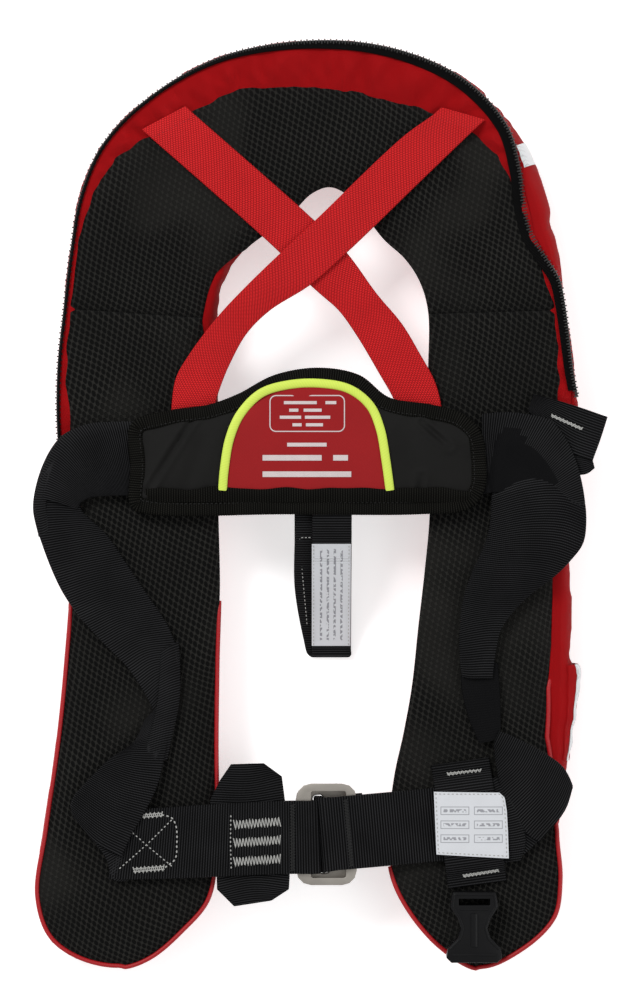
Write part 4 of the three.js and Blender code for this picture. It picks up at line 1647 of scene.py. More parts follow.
@dataclass
class Yoke:
    """The back panel: creased nylon, ribbed binding, an arch of bright piping and a red patch."""

    finishes: Finishes
    border: float = 9.5
    binding_z: float = 47.0
    binding_half: float = 2.6
    base_z: float = 48.4
    crown: float = 2.0
    outline: Array = field(init=False)
    creases: tuple[tuple[float, float, float, float, float, float], ...] = (
        (-75, 56, -105.5, 8, 1.7, 1.7), (-66, 52, -84, 2, 0.5, 4.0),
        (-100, 50, -112, 20, 0.4, 4.0),
        (62, 50, 79, 35, 1.3, 1.6), (60, 2, 62, 17, 1.0, 1.8), (48, 40, 66, 10, 0.3, 6.0),
        (80, 50, 92, 30, 0.4, 3.0),
    )

    def __post_init__(self) -> None:
        """Works out the smooth outline."""
        self.outline = smooth(YOKE_OUTLINE, 360, closed=True)

    def top(self, xy: Array) -> Array:
        """Height of the panel's upper face.

        It is the base plus the crown times one minus e to the minus distance from the border's
        inner edge over 7, less a groove along each crease shaped as a bell curve of the distance.

        Args:
            xy: Flat points, shape (..., 2).

        Returns:
            One height per point.
        """
        inside = self.outline + -left_of(self.outline, closed=True) * (self.border - 1)
        z = self.base_z + self.crown * (1 - np.exp(-nearest(xy, inside) / 7.0))
        for x0, y0, x1, y1, deep, wide in self.creases:
            start, along = np.array([x0, y0]), np.array([x1 - x0, y1 - y0])
            share = np.clip(((xy - start) @ along) / (along @ along), 0, 1)
            away = np.linalg.norm(xy - start - share[..., None] * along, axis=-1)
            z = z - deep * np.exp(-((away / wide) ** 2)) * np.sin(
                math.pi * np.clip(share, 0.08, 0.92)
            )
            z = z + deep * 0.5 * np.exp(-(((away - 1.9 * wide) / wide) ** 2))
        return z + ripple(xy[..., 0], xy[..., 1], 61, 30) * 0.18

    def build(self) -> None:
        """Makes every piece of the yoke."""
        clockwise = -left_of(self.outline, closed=True)
        inner = self.outline + clockwise * (self.border - 1.2)
        flat = star_grid(inner, (-5.0, 26.0), 64)
        top = np.concatenate([flat, self.top(flat)[..., None]], axis=2)
        panel = make_piece(
            "yoke_nylon_panel", star_solid(top, at_grid(flat, 44.2)), [self.finishes.nylon],
            "yoke", 60, stands_for="yoke_panel"
        )
        self.build_binding(clockwise)
        self.build_arch()

    def build_binding(self, inwards: Array) -> None:
        """The binding: a rounded tape folded over the edge, with ribs square to it."""
        run = lengths(self.outline, True)[-1]
        pitch = run / round(run / 1.5)
        count = int(run / pitch) * 4
        line = evenly(self.outline, count, closed=True)
        square = -left_of(line, closed=True)
        angle = np.linspace(0, math.tau, 22, endpoint=False)
        # A rounded box: the circle's sine and cosine to a power below 1, each with its sign.
        level, rise = np.cos(angle), np.sin(angle)
        across = np.sign(level) * np.abs(level) ** 0.62 * self.border / 2
        up = np.sign(rise) * np.abs(rise) ** 0.62 * self.binding_half
        rib = 0.13 * np.cos(math.tau * np.arange(count) / 4)[:, None]
        out = across[None] * (1 + rib / 5) + self.border / 2 - 0.3
        high = up[None] * (1 + rib / self.binding_half) + self.binding_z
        high = high + 0.35 * ripple(line[:, 0], line[:, 1], 71, 26)[:, None] * (up[None] > 0)
        rings = np.concatenate(
            [line[:, None] + square[:, None] * out[..., None], high[..., None]], axis=2
        )
        make_piece(
            "yoke_binding_tape", ring_sheet(rings), [self.finishes.binding], "yoke",
            stands_for="yoke_binding"
        )
        x = np.linspace(-106, 92, 150)
        hem = [
            np.column_stack([x, y + 0.9 * ripple(x, 0 * x, 73, 32) * wave,
            z - 2.2 * np.exp(-np.minimum(x + 106, 92 - x) / 3)])
            for y, z,
            wave in ((9.6, 50.7, 1.0), (6.6, 51.2, 0.7), (3.4, 50.2, 0.0), (1.0, 49.3, 0.0))
        ]
        make_piece(
            "yoke_foot_hem", band(hem, 1.2, Ribs(1.5, 0.12), cols=13), [self.finishes.binding],
            "yoke"
        )
        row = self.outline + inwards * (self.border - 2.2)
        path = at_height(row, self.binding_z + self.binding_half - 0.05)
        seam = Seam(2.6, 2.1, 0.26).along(np.concatenate([path, path[:1]]))
        make_piece(
            "yoke_binding_stitches", seam, [self.finishes.black_thread], "yoke",
        )

    def build_arch(self) -> None:
        """The patch inside the arch, the piping over its edge, and a generic printed panel."""
        arch = smooth(ARCH, 170)
        foot = straight([(42.6, 8.4), (40, 4), (-58, 4), (-59.4, 8.4)], 60)[1:-1]
        outline = np.concatenate([arch, foot])
        flat = star_grid(outline, (-8.0, 30.0), 64)
        top = np.concatenate([flat, (self.top(flat) + 0.75)[..., None]], axis=2)
        make_piece(
            "yoke_patch_twill", star_solid(top, top - np.array([0, 0, 0.7])),
            [self.finishes.twill], "yoke", 60, stands_for="yoke_patch"
        )

        path = at_height(arch, self.top(arch) + 1.3)
        make_piece(
            "yoke_arch_piping", cord_tube(path, 2.7, 14, 0.44), [self.finishes.neon], "yoke",
            stands_for="yoke_piping"
        )

        words = (
            (61.8, 1.9, (-12, 20.0), (6.6, 6.6)), (57.2, 1.9, (-16, 5.6), (-4.5, 11.0)),
            (52.9, 1.9, (-18, 13.0), (-1.5, 15.4)), (48.3, 1.9, (-14, 5.6), (-3.4, 10.4)),
            (36.2, 2.3, (-8, 24.0)), (28.2, 3.4, (-17, 36.0), (12.5, 9.0)),
            (18.2, 3.4, (-8, 54.0)),
        )
        print_ = self.frame_print((-7.8, 55.2), 46, 22.5, 4.0)
        for y, high, *spans in words:
            for x, wide in spans:
                print_ = print_ + self.bar_print(x, y, wide, high)
        make_piece(
            "yoke_patch_print", print_, [self.finishes.print_white], "yoke"
        )

    def bar_print(self, x: float, y: float, wide: float, high: float) -> Surface:
        """A raised printed bar, laid on the patch.

        Args:
            x: Its middle.
            y: Its middle.
            wide: Its size along x.
            high: Its size along y.

        Returns:
            The closed surface.
        """
        share = np.linspace(-0.5, 0.5, 13)
        xy = np.stack(np.meshgrid(x + share * wide, y + share[::3] * high, indexing="ij"), axis=2)
        top = np.concatenate([xy, (self.top(xy) + 1.0)[..., None]], axis=2)
        return closed_sheet(top, top - np.array([0, 0, 0.4]))

    def frame_print(
        self, centre: Sequence[float], wide: float, high: float, corner: float
    ) -> Surface:
        """A printed outline of a rounded box, laid on the patch.

        Args:
            centre: Its middle.
            wide: Its size along x.
            high: Its size along y.
            corner: Radius of its corners.

        Returns:
            The closed surface.
        """
        outer = rounded_box(wide, high, corner, 12) + centre
        inner = rounded_box(wide - 1.3, high - 1.3, corner - 0.6, 12) + centre
        rings = []
        for flat, lift in ((outer, 1.0), (inner, 1.0), (inner, 0.6), (outer, 0.6)):
            rings.append(np.column_stack([flat, self.top(flat) + lift]))
        return ring_sheet(np.stack(rings, axis=1))


def rounded_box(wide: float, high: float, radius: float, steps: int = 6) -> Array:
    """Outline of a box with rounded corners about the origin, anticlockwise.

    Args:
        wide: Its size along x.
        high: Its size along y.
        radius: Radius of its corners.
        steps: Points on each corner.

    Returns:
        Its points, one per row.
    """
    angle = np.linspace(0, math.pi / 2, steps)
    corner = radius * np.column_stack([np.cos(angle), np.sin(angle)])
    turns = []
    for k, (sx, sy) in enumerate(((1, 1), (-1, 1), (-1, -1), (1, -1))):
        c, s = math.cos(k * math.pi / 2), math.sin(k * math.pi / 2)
        turned = corner @ np.array([[c, s], [-s, c]])
        turns.append(turned + np.array([sx * (wide / 2 - radius), sy * (high / 2 - radius)]))
    return np.concatenate(turns)


@dataclass
class ShoulderStraps:
    """Two red straps from the collar to the yoke; the right one crosses over the left."""

    finishes: Finishes
    left: tuple = (
        ((-109, 229, 39.2), (-104, 224.5, 41.2), (-24.5, 153.6, 41.8), (-6.1, 134, 41.8),
        (0, 128.5, 41.7),
         (11.6, 118.1, 41.6), (23.3, 101.6, 41.6), (34.9, 82, 41.6), (45.7, 62.4, 42.0),
         (48, 52, 42.6)),
        ((-82, 243.4, 39.2), (-77, 238.6, 41.2), (-3.1, 173.2, 41.9), (16.5, 153.6, 41.9),
        (34.9, 128.5, 41.7),
         (50.2, 110.2, 41.6), (60.9, 92.4, 41.6), (70.4, 74.7, 41.6), (74.1, 60.6, 42.0),
         (75, 50, 42.6)),
    )
    right: tuple = (
        ((74, 242.6, 39.2), (69, 238, 41.2), (51.4, 225.2, 41.6), (-3.7, 172.6, 44.0),
        (-23.9, 153.6, 44.6),
         (-44.9, 133.4, 43.2), (-62.4, 114.8, 42.2), (-80.2, 91.2, 41.8), (-88.1, 77.1, 41.8),
         (-90.8, 58.8, 42.2), (-91, 48, 42.8)),
        ((101, 235, 39.2), (96, 230.5, 41.2), (60, 195.8, 42.4), (16.5, 153.6, 44.3),
        (-5.7, 134, 44.5),
         (-30.8, 118.1, 43.4), (-44.9, 104, 42.4), (-54.5, 86.9, 41.8), (-60, 74, 41.7),
         (-63.6, 62.4, 42.0), (-65, 50, 42.8)),
    )

    def build(self) -> None:
        """Makes both straps, with the stitches that hold each at the collar."""
        for node, lines in (
            ("shoulder_strap_left", self.left), ("shoulder_strap_right", self.right)
        ):
            first, second = (smooth(line, 260) for line in lines)
            flip = second if node.endswith("right") else first
            other = first if node.endswith("right") else second
            belly = (flip + other) / 2 + np.array([0, 0, 0.25])
            surface = band([flip, belly, other], 1.9, step=1.9, cols=13)
            make_piece(
                f"{node}_webbing", surface, [self.finishes.red_webbing], "yoke",
                stands_for=node
            )
            start = np.stack([flip[9] * 0.93 + other[9] * 0.07, flip[9] * 0.07 + other[9] * 0.93])
            start[:, 2] += 1.05
            seam = Seam(2.4, 1.9, 0.3).along(evenly(start, 30))
            make_piece(
                f"{node}_stitches", seam, [self.finishes.red_thread], "yoke"
            )


# ---------------------------------------------------------------- side straps


@dataclass
class SideStraps:
    """Folded webbing from the yoke over each lobe down to the belt."""

    finishes: Finishes
    ribs: Ribs = Ribs(1.6, 0.15)

    def rolled(
        self, *lines: Sequence[Sequence[float]], fade: Callable | None = None, thick: float = 1.9
    ) -> Surface:
        """A stretch of webbing.

        Args:
            lines: The knots of smooth lines that run along it, from one selvedge to the other.
            fade: Strength of the ribs, 0 to 1, at a share of the length and of the width.
            thick: Its thickness.

        Returns:
            The closed surface.
        """
        return band([smooth(line) for line in lines], thick, self.ribs, cols=17, fade=fade)

    def left(self) -> Surface:
        """The left strap: out from the yoke, rolled under at the edge, then down in two turns."""
        # Out from the yoke; its far side rolls over and under along the outer curve.
        first = self.rolled(
            [(-108, 50.5, 46.2), (-126, 50.3, 46.2), (-143, 48.6, 45.9), (-158, 40.5, 45.2),
             (-168, 25, 44.4), (-174.6, 4, 43.2)],
            [(-108, 44, 46.8), (-126, 43.6, 46.9), (-140, 42, 46.9), (-152, 34.6, 46.4),
             (-161, 21, 45.8), (-167, 3, 45.2)],
            [(-108, 24, 46.6), (-126, 24, 46.6), (-138, 22.5, 46.6), (-147, 17.5, 46.2),
             (-152, 9, 45.8), (-156, 0, 45.2)],
            [(-108, 5, 46.0), (-122, 5.2, 46.0), (-132, 4.8, 45.8), (-140, 4.0, 45.4),
             (-146, 1.0, 45.0), (-148, -3, 44.6)],
            fade=lambda u, v: np.clip((v - 0.10) / 0.12, 0, 1) * np.ones_like(u),
        )
        # The rolled edge carries on round the outside of the turn.
        roll = self.rolled(
            [(-143, 49, 44.6), (-158, 41.5, 44.0), (-169, 25, 43.2), (-175.4, -1, 42.6),
             (-172, -20, 42.4)],
            [(-141, 45.5, 46.2), (-154, 38.0, 45.9), (-164.5, 22, 45.4), (-171, 0, 44.8),
             (-168, -18, 44.2)],
            [(-139, 42, 45.6), (-151, 35, 45.4), (-160.5, 20, 44.9), (-167, 1, 44.2),
             (-165, -16, 43.4)],
            fade=lambda u, v: 0 * (u + v), thick=1.6,
        )
        # Under it and down to the right.
        second = self.rolled(
            [(-174.5, 6, 42.6), (-175, -6, 43.4), (-169.4, -26, 43.6), (-158.4, -52, 43.8),
             (-148, -67.5, 43.9), (-132, -85.5, 43.9), (-118, -99.5, 43.8), (-107, -116, 43.4),
             (-101, -128, 42.8)],
            [(-160, 6, 42.6), (-160, -8, 43.8), (-153, -23, 44.2), (-141, -46, 44.6),
             (-131, -60, 44.7), (-117, -76, 44.8), (-106, -90, 44.8), (-97, -106, 44.4),
             (-93, -120, 43.8)],
            [(-145, 4, 42.4), (-146.5, -2, 43.4), (-130, -19, 43.9), (-115.4, -40.4, 44.2),
             (-103, -58.8, 44.4), (-92.6, -74.7, 44.6), (-87.2, -90, 44.6), (-86.2, -106, 44.2),
             (-86.4, -120, 43.6)],
            fade=lambda u, v: (
                np.clip((0.86 - u) / 0.12, 0, 1) * np.clip((0.93 - v * u) / 0.1, 0, 1)
            ),
        )
        # The smooth roll at the second turn.
        bend = self.rolled(
            [(-86.2, -84, 43.4), (-85.4, -100, 43.6), (-85.9, -120, 43.6), (-89.4, -138, 43.4),
             (-93.4, -156, 42.8)],
            [(-91.5, -86, 45.6), (-90.6, -102, 45.9), (-91.2, -121, 45.9), (-94.8, -139, 45.6),
             (-99, -157, 45.2)],
            [(-97.5, -90, 45.0), (-98, -104, 45.4), (-99.5, -122, 45.7), (-104, -141, 45.6),
             (-109, -160, 45.2)],
            fade=lambda u, v: 0 * (u + v), thick=1.7,
        )
        # Down to the left, ending in a rounded fold over the belt's end.
        third = self.rolled(
            [(-91, -118, 43.8), (-92.2, -138, 44.8), (-95.2, -156, 45.4), (-99.5, -172.6, 46.0),
             (-108, -190, 46.6), (-114.5, -201, 46.9), (-121, -215, 46.9)],
            [(-99, -124, 43.6), (-104, -140, 44.8), (-111, -156, 45.6), (-120, -172, 46.2),
             (-128, -189, 46.8), (-133, -200, 47.0), (-137, -206, 46.6)],
            [(-107, -132, 42.6), (-114, -145.5, 43.8), (-128.5, -155.6, 44.6), (-143, -170, 45.2),
             (-150, -178, 45.8), (-152.3, -184.5, 46.0), (-150.5, -191, 45.4)],
            fade=lambda u, v: np.clip((u - 0.16) / 0.1, 0, 1) * np.ones_like(v),
        )
        # The layer under that fold, down to the belt's lower edge.
        under = self.rolled(
            [(-150.5, -186, 44.6), (-144, -199.5, 44.0), (-131, -216, 43.6),
             (-126.6, -229.6, 43.2), (-118, -230.6, 42.8)],
            [(-132, -186, 44.8), (-128, -199, 44.6), (-120, -211, 44.2), (-115, -220, 43.6),
             (-109, -222, 43.0)],
            [(-112, -186, 44.4), (-110, -196, 44.2), (-109, -205, 43.8), (-106, -212, 43.2),
             (-103, -214, 42.8)],
        )
        return first + roll + second + bend + third + under

    def right(self) -> Surface:
        """The right strap: out from the yoke, dished and folded round, and down to the belt."""
        # Out from the yoke, turning down round the outside with a deep dish inside the turn.
        upper = self.rolled(
            [(99, 55.2, 46.0), (114, 56.2, 46.2), (129, 54.6, 46.4), (141, 51.2, 46.4),
             (150.6, 39.5, 46.2), (158, 21, 45.8), (162, 0, 45.2), (161.6, -16, 44.6)],
            [(99, 42, 46.6), (112, 42, 46.9), (122, 41, 47.2), (131, 38, 47.2), (139, 30, 46.9),
             (147, 17, 46.4), (153, 0, 45.6), (153, -14, 44.8)],
            [(99, 24, 46.2), (107, 26, 45.6), (114, 27, 44.6), (121, 24, 43.6), (128, 19, 42.9),
             (136, 11, 42.6), (143, -2, 42.6), (145, -14, 42.6)],
            [(99, 6, 45.8), (106, 7, 44.8), (112, 6, 43.0), (118, 5, 42.2), (125, 5, 42.0),
             (132, 4, 42.0), (138, -4, 42.0), (140, -14, 42.0)],
            fade=lambda u, v: (
                1 - np.clip((v - 0.27) / 0.12, 0, 1) * np.clip((u - 0.1) / 0.1, 0, 1)
            ),
        )
        # Painted shade: the faces inside this outline, in the dish of the turn, take the dark
        # smooth finish.
        painted_shade_outline = smooth(
            [(107, 37), (113, 46.5), (119, 46.5), (130, 32), (144, 12), (140, 4), (125, 3),
             (105, 6)],
            90, True
        )
        upper = upper.dressed_inside(painted_shade_outline, 1)
        # The lower part, lipped at its top, bulging to the right and narrowing to a mouth.
        lower = self.rolled(
            [(157.5, 12, 42.6), (161.2, 4, 44.6), (162.6, -10, 46.2), (160.6, -24, 46.4),
             (153, -34.5, 46.2), (143.4, -44, 46.0), (128.8, -55, 45.8), (117.8, -66, 45.7),
             (110.4, -77, 45.6), (106.6, -95, 45.6), (105.4, -106, 45.4)],
            [(144, 17, 42.4), (147, 10, 44.8), (148, -8, 47.0), (145, -24, 47.4), (138, -36, 47.2),
             (129, -47, 46.9), (117, -58, 46.6), (108, -68, 46.4), (102.6, -80, 46.3),
             (99.6, -96, 46.2), (98.8, -106, 46.0)],
            [(126, 15.6, 42.2), (127, 9, 44.8), (126, -8, 46.8), (122, -24, 47.1),
             (115, -38, 46.9), (107, -50, 46.7), (99, -62, 46.5), (94.6, -72, 46.3),
             (92.4, -84, 46.2), (91.6, -97, 46.1), (91.2, -106, 45.9)],
            [(105, 8.6, 42.4), (104.6, 2, 44.0), (103.4, -14, 45.6), (99, -28, 45.9),
             (93.4, -40, 45.8), (89, -52, 45.6), (86.6, -62, 45.5), (85.4, -74, 45.4),
             (85.0, -86, 45.4), (85.6, -98, 45.3), (86.6, -105, 45.2)],
            fade=lambda u, v: np.clip((u - 0.02) / 0.03, 0, 1) * np.ones_like(v),
        )
        # Out of the mouth: the smooth face of the webbing, one layer down.
        straight_run = band(
            [smooth([(86.2, -97, 42.8), (86.4, -112, 43.2), (90.5, -130, 43.2), (97, -146, 43.0)]),
             smooth([(97.5, -97, 43.0), (98.0, -112, 44.2), (100, -128, 44.4), (103, -145, 44.0)]),
             smooth([(108.6, -97, 42.8), (109.8, -112, 43.4), (110.4, -128, 43.6),
                     (110.6, -143, 43.4)])],
            1.9, Ribs(1.6, 0.1), 1.6, 13,
        ).dressed(1)
        # Folded out to the right, ribs slanting.
        flag = self.rolled(
            [(109.6, -138.6, 44.4), (122, -143.6, 45.2), (138, -152.4, 45.4),
             (148.4, -160.4, 45.2), (153.6, -169.6, 44.4), (154.2, -172.4, 43.6)],
            [(107.5, -143, 44.4), (115, -153, 45.6), (126, -164, 45.9), (137, -175, 45.8),
             (146, -184, 45.2), (149.5, -187, 44.2)],
            [(106, -147.4, 44.2), (107.8, -161.6, 45.2), (111.4, -178.6, 45.6),
             (118.6, -190.8, 45.4), (128, -203, 45.0), (134, -206.4, 44.2)],
        )
        # Back under and round into the belt loop.
        back = self.rolled(
            [(153, -171, 43.0), (146, -188, 43.0), (134, -205, 43.0), (122, -216, 42.8),
             (112, -220, 42.6)],
            [(134, -172, 43.2), (130, -186, 43.4), (122, -197, 43.4), (114, -206, 43.0),
             (106, -210, 42.6)],
            [(114, -172, 43.0), (113, -182, 43.2), (109, -190, 43.0), (104, -196, 42.8),
             (98, -200, 42.6)],
        )
        curl = self.rolled(
            [(108.6, -166, 43.6), (117, -176, 44.4), (123, -190, 44.6), (125.6, -206, 44.4),
             (123, -217, 43.6)],
            [(105, -168, 44.6), (112, -178, 45.8), (116.6, -191, 46.2), (118, -206, 46.0),
             (116, -218, 45.0)],
            [(101, -170, 43.6), (106, -180, 44.6), (109.6, -192, 45.0), (110.6, -206, 44.8),
             (109, -218, 43.8)],
        )
        return upper + lower + straight_run + flag + back + curl

    def build(self) -> None:
        """Makes both straps, each with its transform baked into its points."""
        for node, surface, start, end in (
            ("side_strap_left", self.left(), (-0.112, 0.02, 0.045), (-0.125, -0.075, 0.045)),
            ("side_strap_right", self.right(), (0.104, 0.02, 0.045), (0.115, -0.085, 0.045)),
        ):
            piece = make_piece(
                f"{node}_webbing", surface, [self.finishes.webbing, self.finishes.smooth_face_and_painted_shade],
                None, stands_for=node)
            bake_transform(piece)


# ---------------------------------------------------------------- waist belt and buckle


@dataclass
class Belt:
    """Both halves of the waist belt, the doubling tab and the white tacks."""

    finishes: Finishes
    ribs: Ribs = Ribs(1.6, 0.16)
    thick: float = 2.1
    right_y: float = -202.3
    right_turn: float = 5.1

    def build(self) -> None:
        """Makes every piece of the belt."""
        self.build_left()
        self.build_right()
        self.build_tab()

    def build_left(self) -> None:
        """The left half: two edges run in, go round the frame's bar, and back underneath."""
        upper = smooth([
            (-123, -190, 43.0), (-112, -186.6, 44.2), (-96, -185.4, 44.4), (-60, -183, 44.2),
            (-20, -181.2, 44.2), (-6, -181.2, 44.3), (-2.9, -181.2, 43.2), (-2.4, -181.2, 41.2),
            (-3.2, -181.2, 38.9), (-7, -181.4, 38.0), (-42, -182, 37.9)], 420)
        lower = smooth([
            (-129, -229.4, 43.0), (-117, -229.4, 44.2), (-96, -229.0, 44.4), (-60, -227.6, 44.2),
            (-20, -226.0, 44.2), (-4, -226.0, 44.3), (-0.9, -226.0, 43.2), (-0.3, -226.0, 41.2),
            (-1.6, -226.0, 38.9), (-6, -226.0, 38.0), (-42, -226.4, 37.9)], 420)
        middle = (upper + lower) / 2 + np.array([0, 0, 0.35])
        make_piece(
            "belt_left_webbing", band([upper, middle, lower], self.thick, self.ribs, cols=15),
            [self.finishes.webbing], stands_for="belt_left"
        )
        z = 45.75
        tacks = (
            bar_tack((-52.6, -195.8, z), (-24.2, -193.8, z), 6.0, 0.95, False)
            + bar_tack((-52.6, -206.9, z), (-24.0, -205.0, z), 6.0, 0.95, False)
            + bar_tack((-52.6, -218.4, z), (-24.0, -216.6, z), 6.0, 0.95, False)
            + bar_tack((-108.5, -190.4, z), (-96.0, -189.4, z), 3.6)
            + bar_tack((-114.0, -223.6, z), (-95.0, -222.0, z), 4.2)
        )
        seam = Seam(2.7, 2.4, 0.5)
        box = (
            seam.along(smooth([(-96, -189.8, z), (-90.5, -191.6, z), (-87.8, -197, z),
            (-87.4, -208, z),
                              (-88.4, -216.6, z), (-94, -221.4, z)]))
            + Seam(2.4, 2.0, 0.4).along(
                smooth([(-122, -222.2, z - 0.3), (-106, -208, z), (-91, -193.2, z)])
            )
            + Seam(2.4, 2.0, 0.4).along(
                smooth([(-114, -201, z - 0.1), (-103, -210.6, z), (-91, -220.6, z)])
            )
        )
        box = box + Seam(2.3, 1.8, 0.42).along(
            smooth([(-54.4, -190.6, z), (-54.6, -206, z), (-54.2, -221.8, z)])
        )
        make_piece(
            "belt_left_tacks", tacks + box, [self.finishes.white_thread]
        )
        dark = bar_tack((-16.8, -183.4, z), (-16.8, -224.0, z), 3.4, 0.9)
        make_piece("belt_left_dark_tack", dark, [self.finishes.black_thread])

    def build_right(self) -> None:
        """The right half, slightly tilted: round the insert's bar, under the loop and on."""

        def edge(y: float, dy: float) -> Array:
            """One selvedge, at its y, pinched by dy where it turns round the bar."""
            return smooth([
                (86, y + dy, 43.6), (70, y, 44.0), (30, y, 44.2), (8, y, 44.3),
                (3.4, y + dy, 43.8), (1.4, y + 2 * dy, 42.0), (0.1, y + 3 * dy, 39.0),
                (-0.9, y + 3 * dy, 36.2), (0.8, y + 2 * dy, 33.6), (7, y, 32.6), (28, y, 32.6)],
                420)

        upper, lower = edge(22.6, 0.4), edge(-22.4, -0.4)
        middle = (upper + lower) / 2 + np.array([0, 0, 0.3])
        surface = band([lower, middle, upper], self.thick, self.ribs, cols=15)
        surface = surface.placed(self.right_turn, (0, self.right_y, 0))
        make_piece(
            "belt_right_webbing", surface, [self.finishes.webbing], "belt_right_half",
            stands_for="belt_right"
        )
        tack = bar_tack(
            (17.5, 20.5, 45.7), (17.5, -20.5, 45.7), 3.0, 0.9
        ).placed(self.right_turn, (0, self.right_y, 0))
        make_piece(
            "belt_right_dark_tack", tack, [self.finishes.black_thread], "belt_right_half",
        )

    def build_tab(self) -> None:
        """The eight-sided doubling tab behind the belt, its ribs level."""
        left = straight([
            (-54.5, -159.1, 41.4), (-61.2, -168.9, 41.5), (-67.3, -181.2, 41.6), (-67, -205, 41.6),
            (-63.2, -228, 41.6), (-63, -235.6, 41.6), (-52.6, -246, 41.4)], 160)
        right = straight([
            (-34.3, -158.5, 41.4), (-23.3, -166.5, 41.5), (-21.4, -181.2, 41.6),
            (-18.6, -205, 41.6), (-18.5, -228, 41.6), (-19, -235.6, 41.6), (-29.4, -242.4, 41.4)],
            160)
        middle = (left + right) / 2 + np.array([0, 0, 0.2])
        make_piece(
            "belt_tab_webbing", band([left, middle, right], 1.8, self.ribs, cols=15),
            [self.finishes.webbing], stands_for="belt_tab_left"
        )


@dataclass
class Buckle:
    """The two-part steel buckle: a frame over an insert, both plates with rounded edges."""

    finishes: Finishes
    edge: float = 0.9

    def build(self) -> None:
        """Makes the frame and the insert from their CAD shapes."""
        for node, body in (("buckle_frame", "root"), ("buckle_insert", "belt_right_half")):
            softened(node, f"{node}_plate", self.finishes.steel, body, self.edge)


@dataclass
class BeltLoop:
    """The upright loop on the right lobe that the belt runs through, with its label."""

    finishes: Finishes
    centre: tuple[float, float, float] = (91.0, -195.0, 0.0)
    turn: float = 8.0

    def build(self) -> None:
        """Makes the loop, its tacks and the label."""

        def edge(x: float) -> Array:
            """A line along the loop at an x."""
            return smooth([
                (x, 38, 41.2), (x, 31, 41.6), (x, 27, 44.6), (x, 23, 46.7), (x, 10, 46.9),
                (x, -10, 46.9), (x, -23, 46.7), (x, -27, 44.6), (x, -31, 41.8), (x, -38, 41.4)],
                260)

        surface = band(
            [edge(-18), edge(0) + np.array([0, 0, 0.3]), edge(18)], 2.0, Ribs(1.6, 0.15), cols=13
        )
        make_piece(
            "belt_loop_webbing", surface.placed(self.turn, self.centre), [self.finishes.webbing],
            stands_for="belt_loop_right"
        )
        tacks = bar_tack((-9, 31.5, 43.0), (12, 30.8, 43.0), 2.2) + bar_tack(
            (-8, -31.5, 43.2), (14, -31.0, 43.2), 2.2
        )
        make_piece(
            "belt_loop_tacks", tacks.placed(self.turn, self.centre), [self.finishes.white_thread],
        )
        self.build_label()

    def build_label(self) -> None:
        """The label: a thin patch bowed over the loop, with its stitched border."""
        right = evenly(
            np.array([(109.4, -175.9), (112.6, -179.0), (113.9, -187.0), (114.6, -200.0),
                      (115.1, -216.0)]),
            31
        )
        left = evenly(np.array([(69.4, -175.4), (70.0, -190.0), (71.0, -213.6)]), 31)
        share = np.linspace(0, 1, 37)[None, :, None]
        xy = left[:, None] * (1 - share) + right[:, None] * share
        u, v = 2 * share[..., 0] - 1, np.linspace(-1, 1, 31)[:, None]
        z = 49.5 - 0.8 * u**4 - 0.15 * v**4 + ripple(xy[..., 0], xy[..., 1], 90, 22) * 0.14
        top = np.concatenate([xy, z[..., None]], axis=2)
        label = closed_sheet(top, top - np.array([0, 0, 0.55]))
        label.cloth = [label.points[f][..., :2] - np.array([92.4, -195.4]) for f in label.faces]
        make_piece(
            "belt_label_patch", label, [self.finishes.belt_label],
            stands_for="belt_label"
        )
        rim = np.concatenate([top[1, 1:-1], top[1:-1, -2], top[-2, -2:0:-1], top[-2:0:-1, 1]])
        seam = Seam(2.5, 1.9, 0.32).along(rim + np.array([0, 0, 0.08]))
        make_piece("belt_label_stitches", seam, [self.finishes.white_thread])


@dataclass
class KeeperTab:
    """Webbing keeper at the right shoulder, over the side strap, doubled under itself."""

    finishes: Finishes

    def build(self) -> None:
        """Makes the tab, its under layer and its tack."""
        top = band(
            [smooth([(130.6, 67, 43.4), (128, 60, 42.8), (127.4, 57, 42.6)], 60),
             smooth([(144, 63.6, 45.0), (140, 53, 44.0), (137, 46, 42.8)], 60),
             smooth([(160, 58.6, 46.4), (155, 44, 45.0), (150.6, 33, 43.2)], 60),
             smooth([(175.6, 53.2, 46.0), (171.4, 40, 45.8), (166.6, 26.6, 44.6)], 60)],
            1.9, Ribs(1.6, 0.14), cols=23,
        )
        under = band(
            [smooth([(140, 44, 41.9), (150, 31, 42.3), (158, 17.6, 42.0)], 80),
             smooth([(152, 42, 42.2), (158, 30, 42.6), (163.4, 18.6, 42.2)], 80),
             smooth([(164, 40, 42.4), (166, 30, 42.8), (168, 22, 42.6)], 80)],
            1.5, Ribs(1.6, 0.14), cols=11,
        )
        make_piece(
            "keeper_tab_webbing", top + under, [self.finishes.webbing],
            stands_for="keeper_tab"
        )
        tack = bar_tack((141.2, 54.2, 45.7), (160.0, 45.8, 46.9), 2.0, 1.25)
        make_piece("keeper_tab_tack", tack, [self.finishes.white_thread])


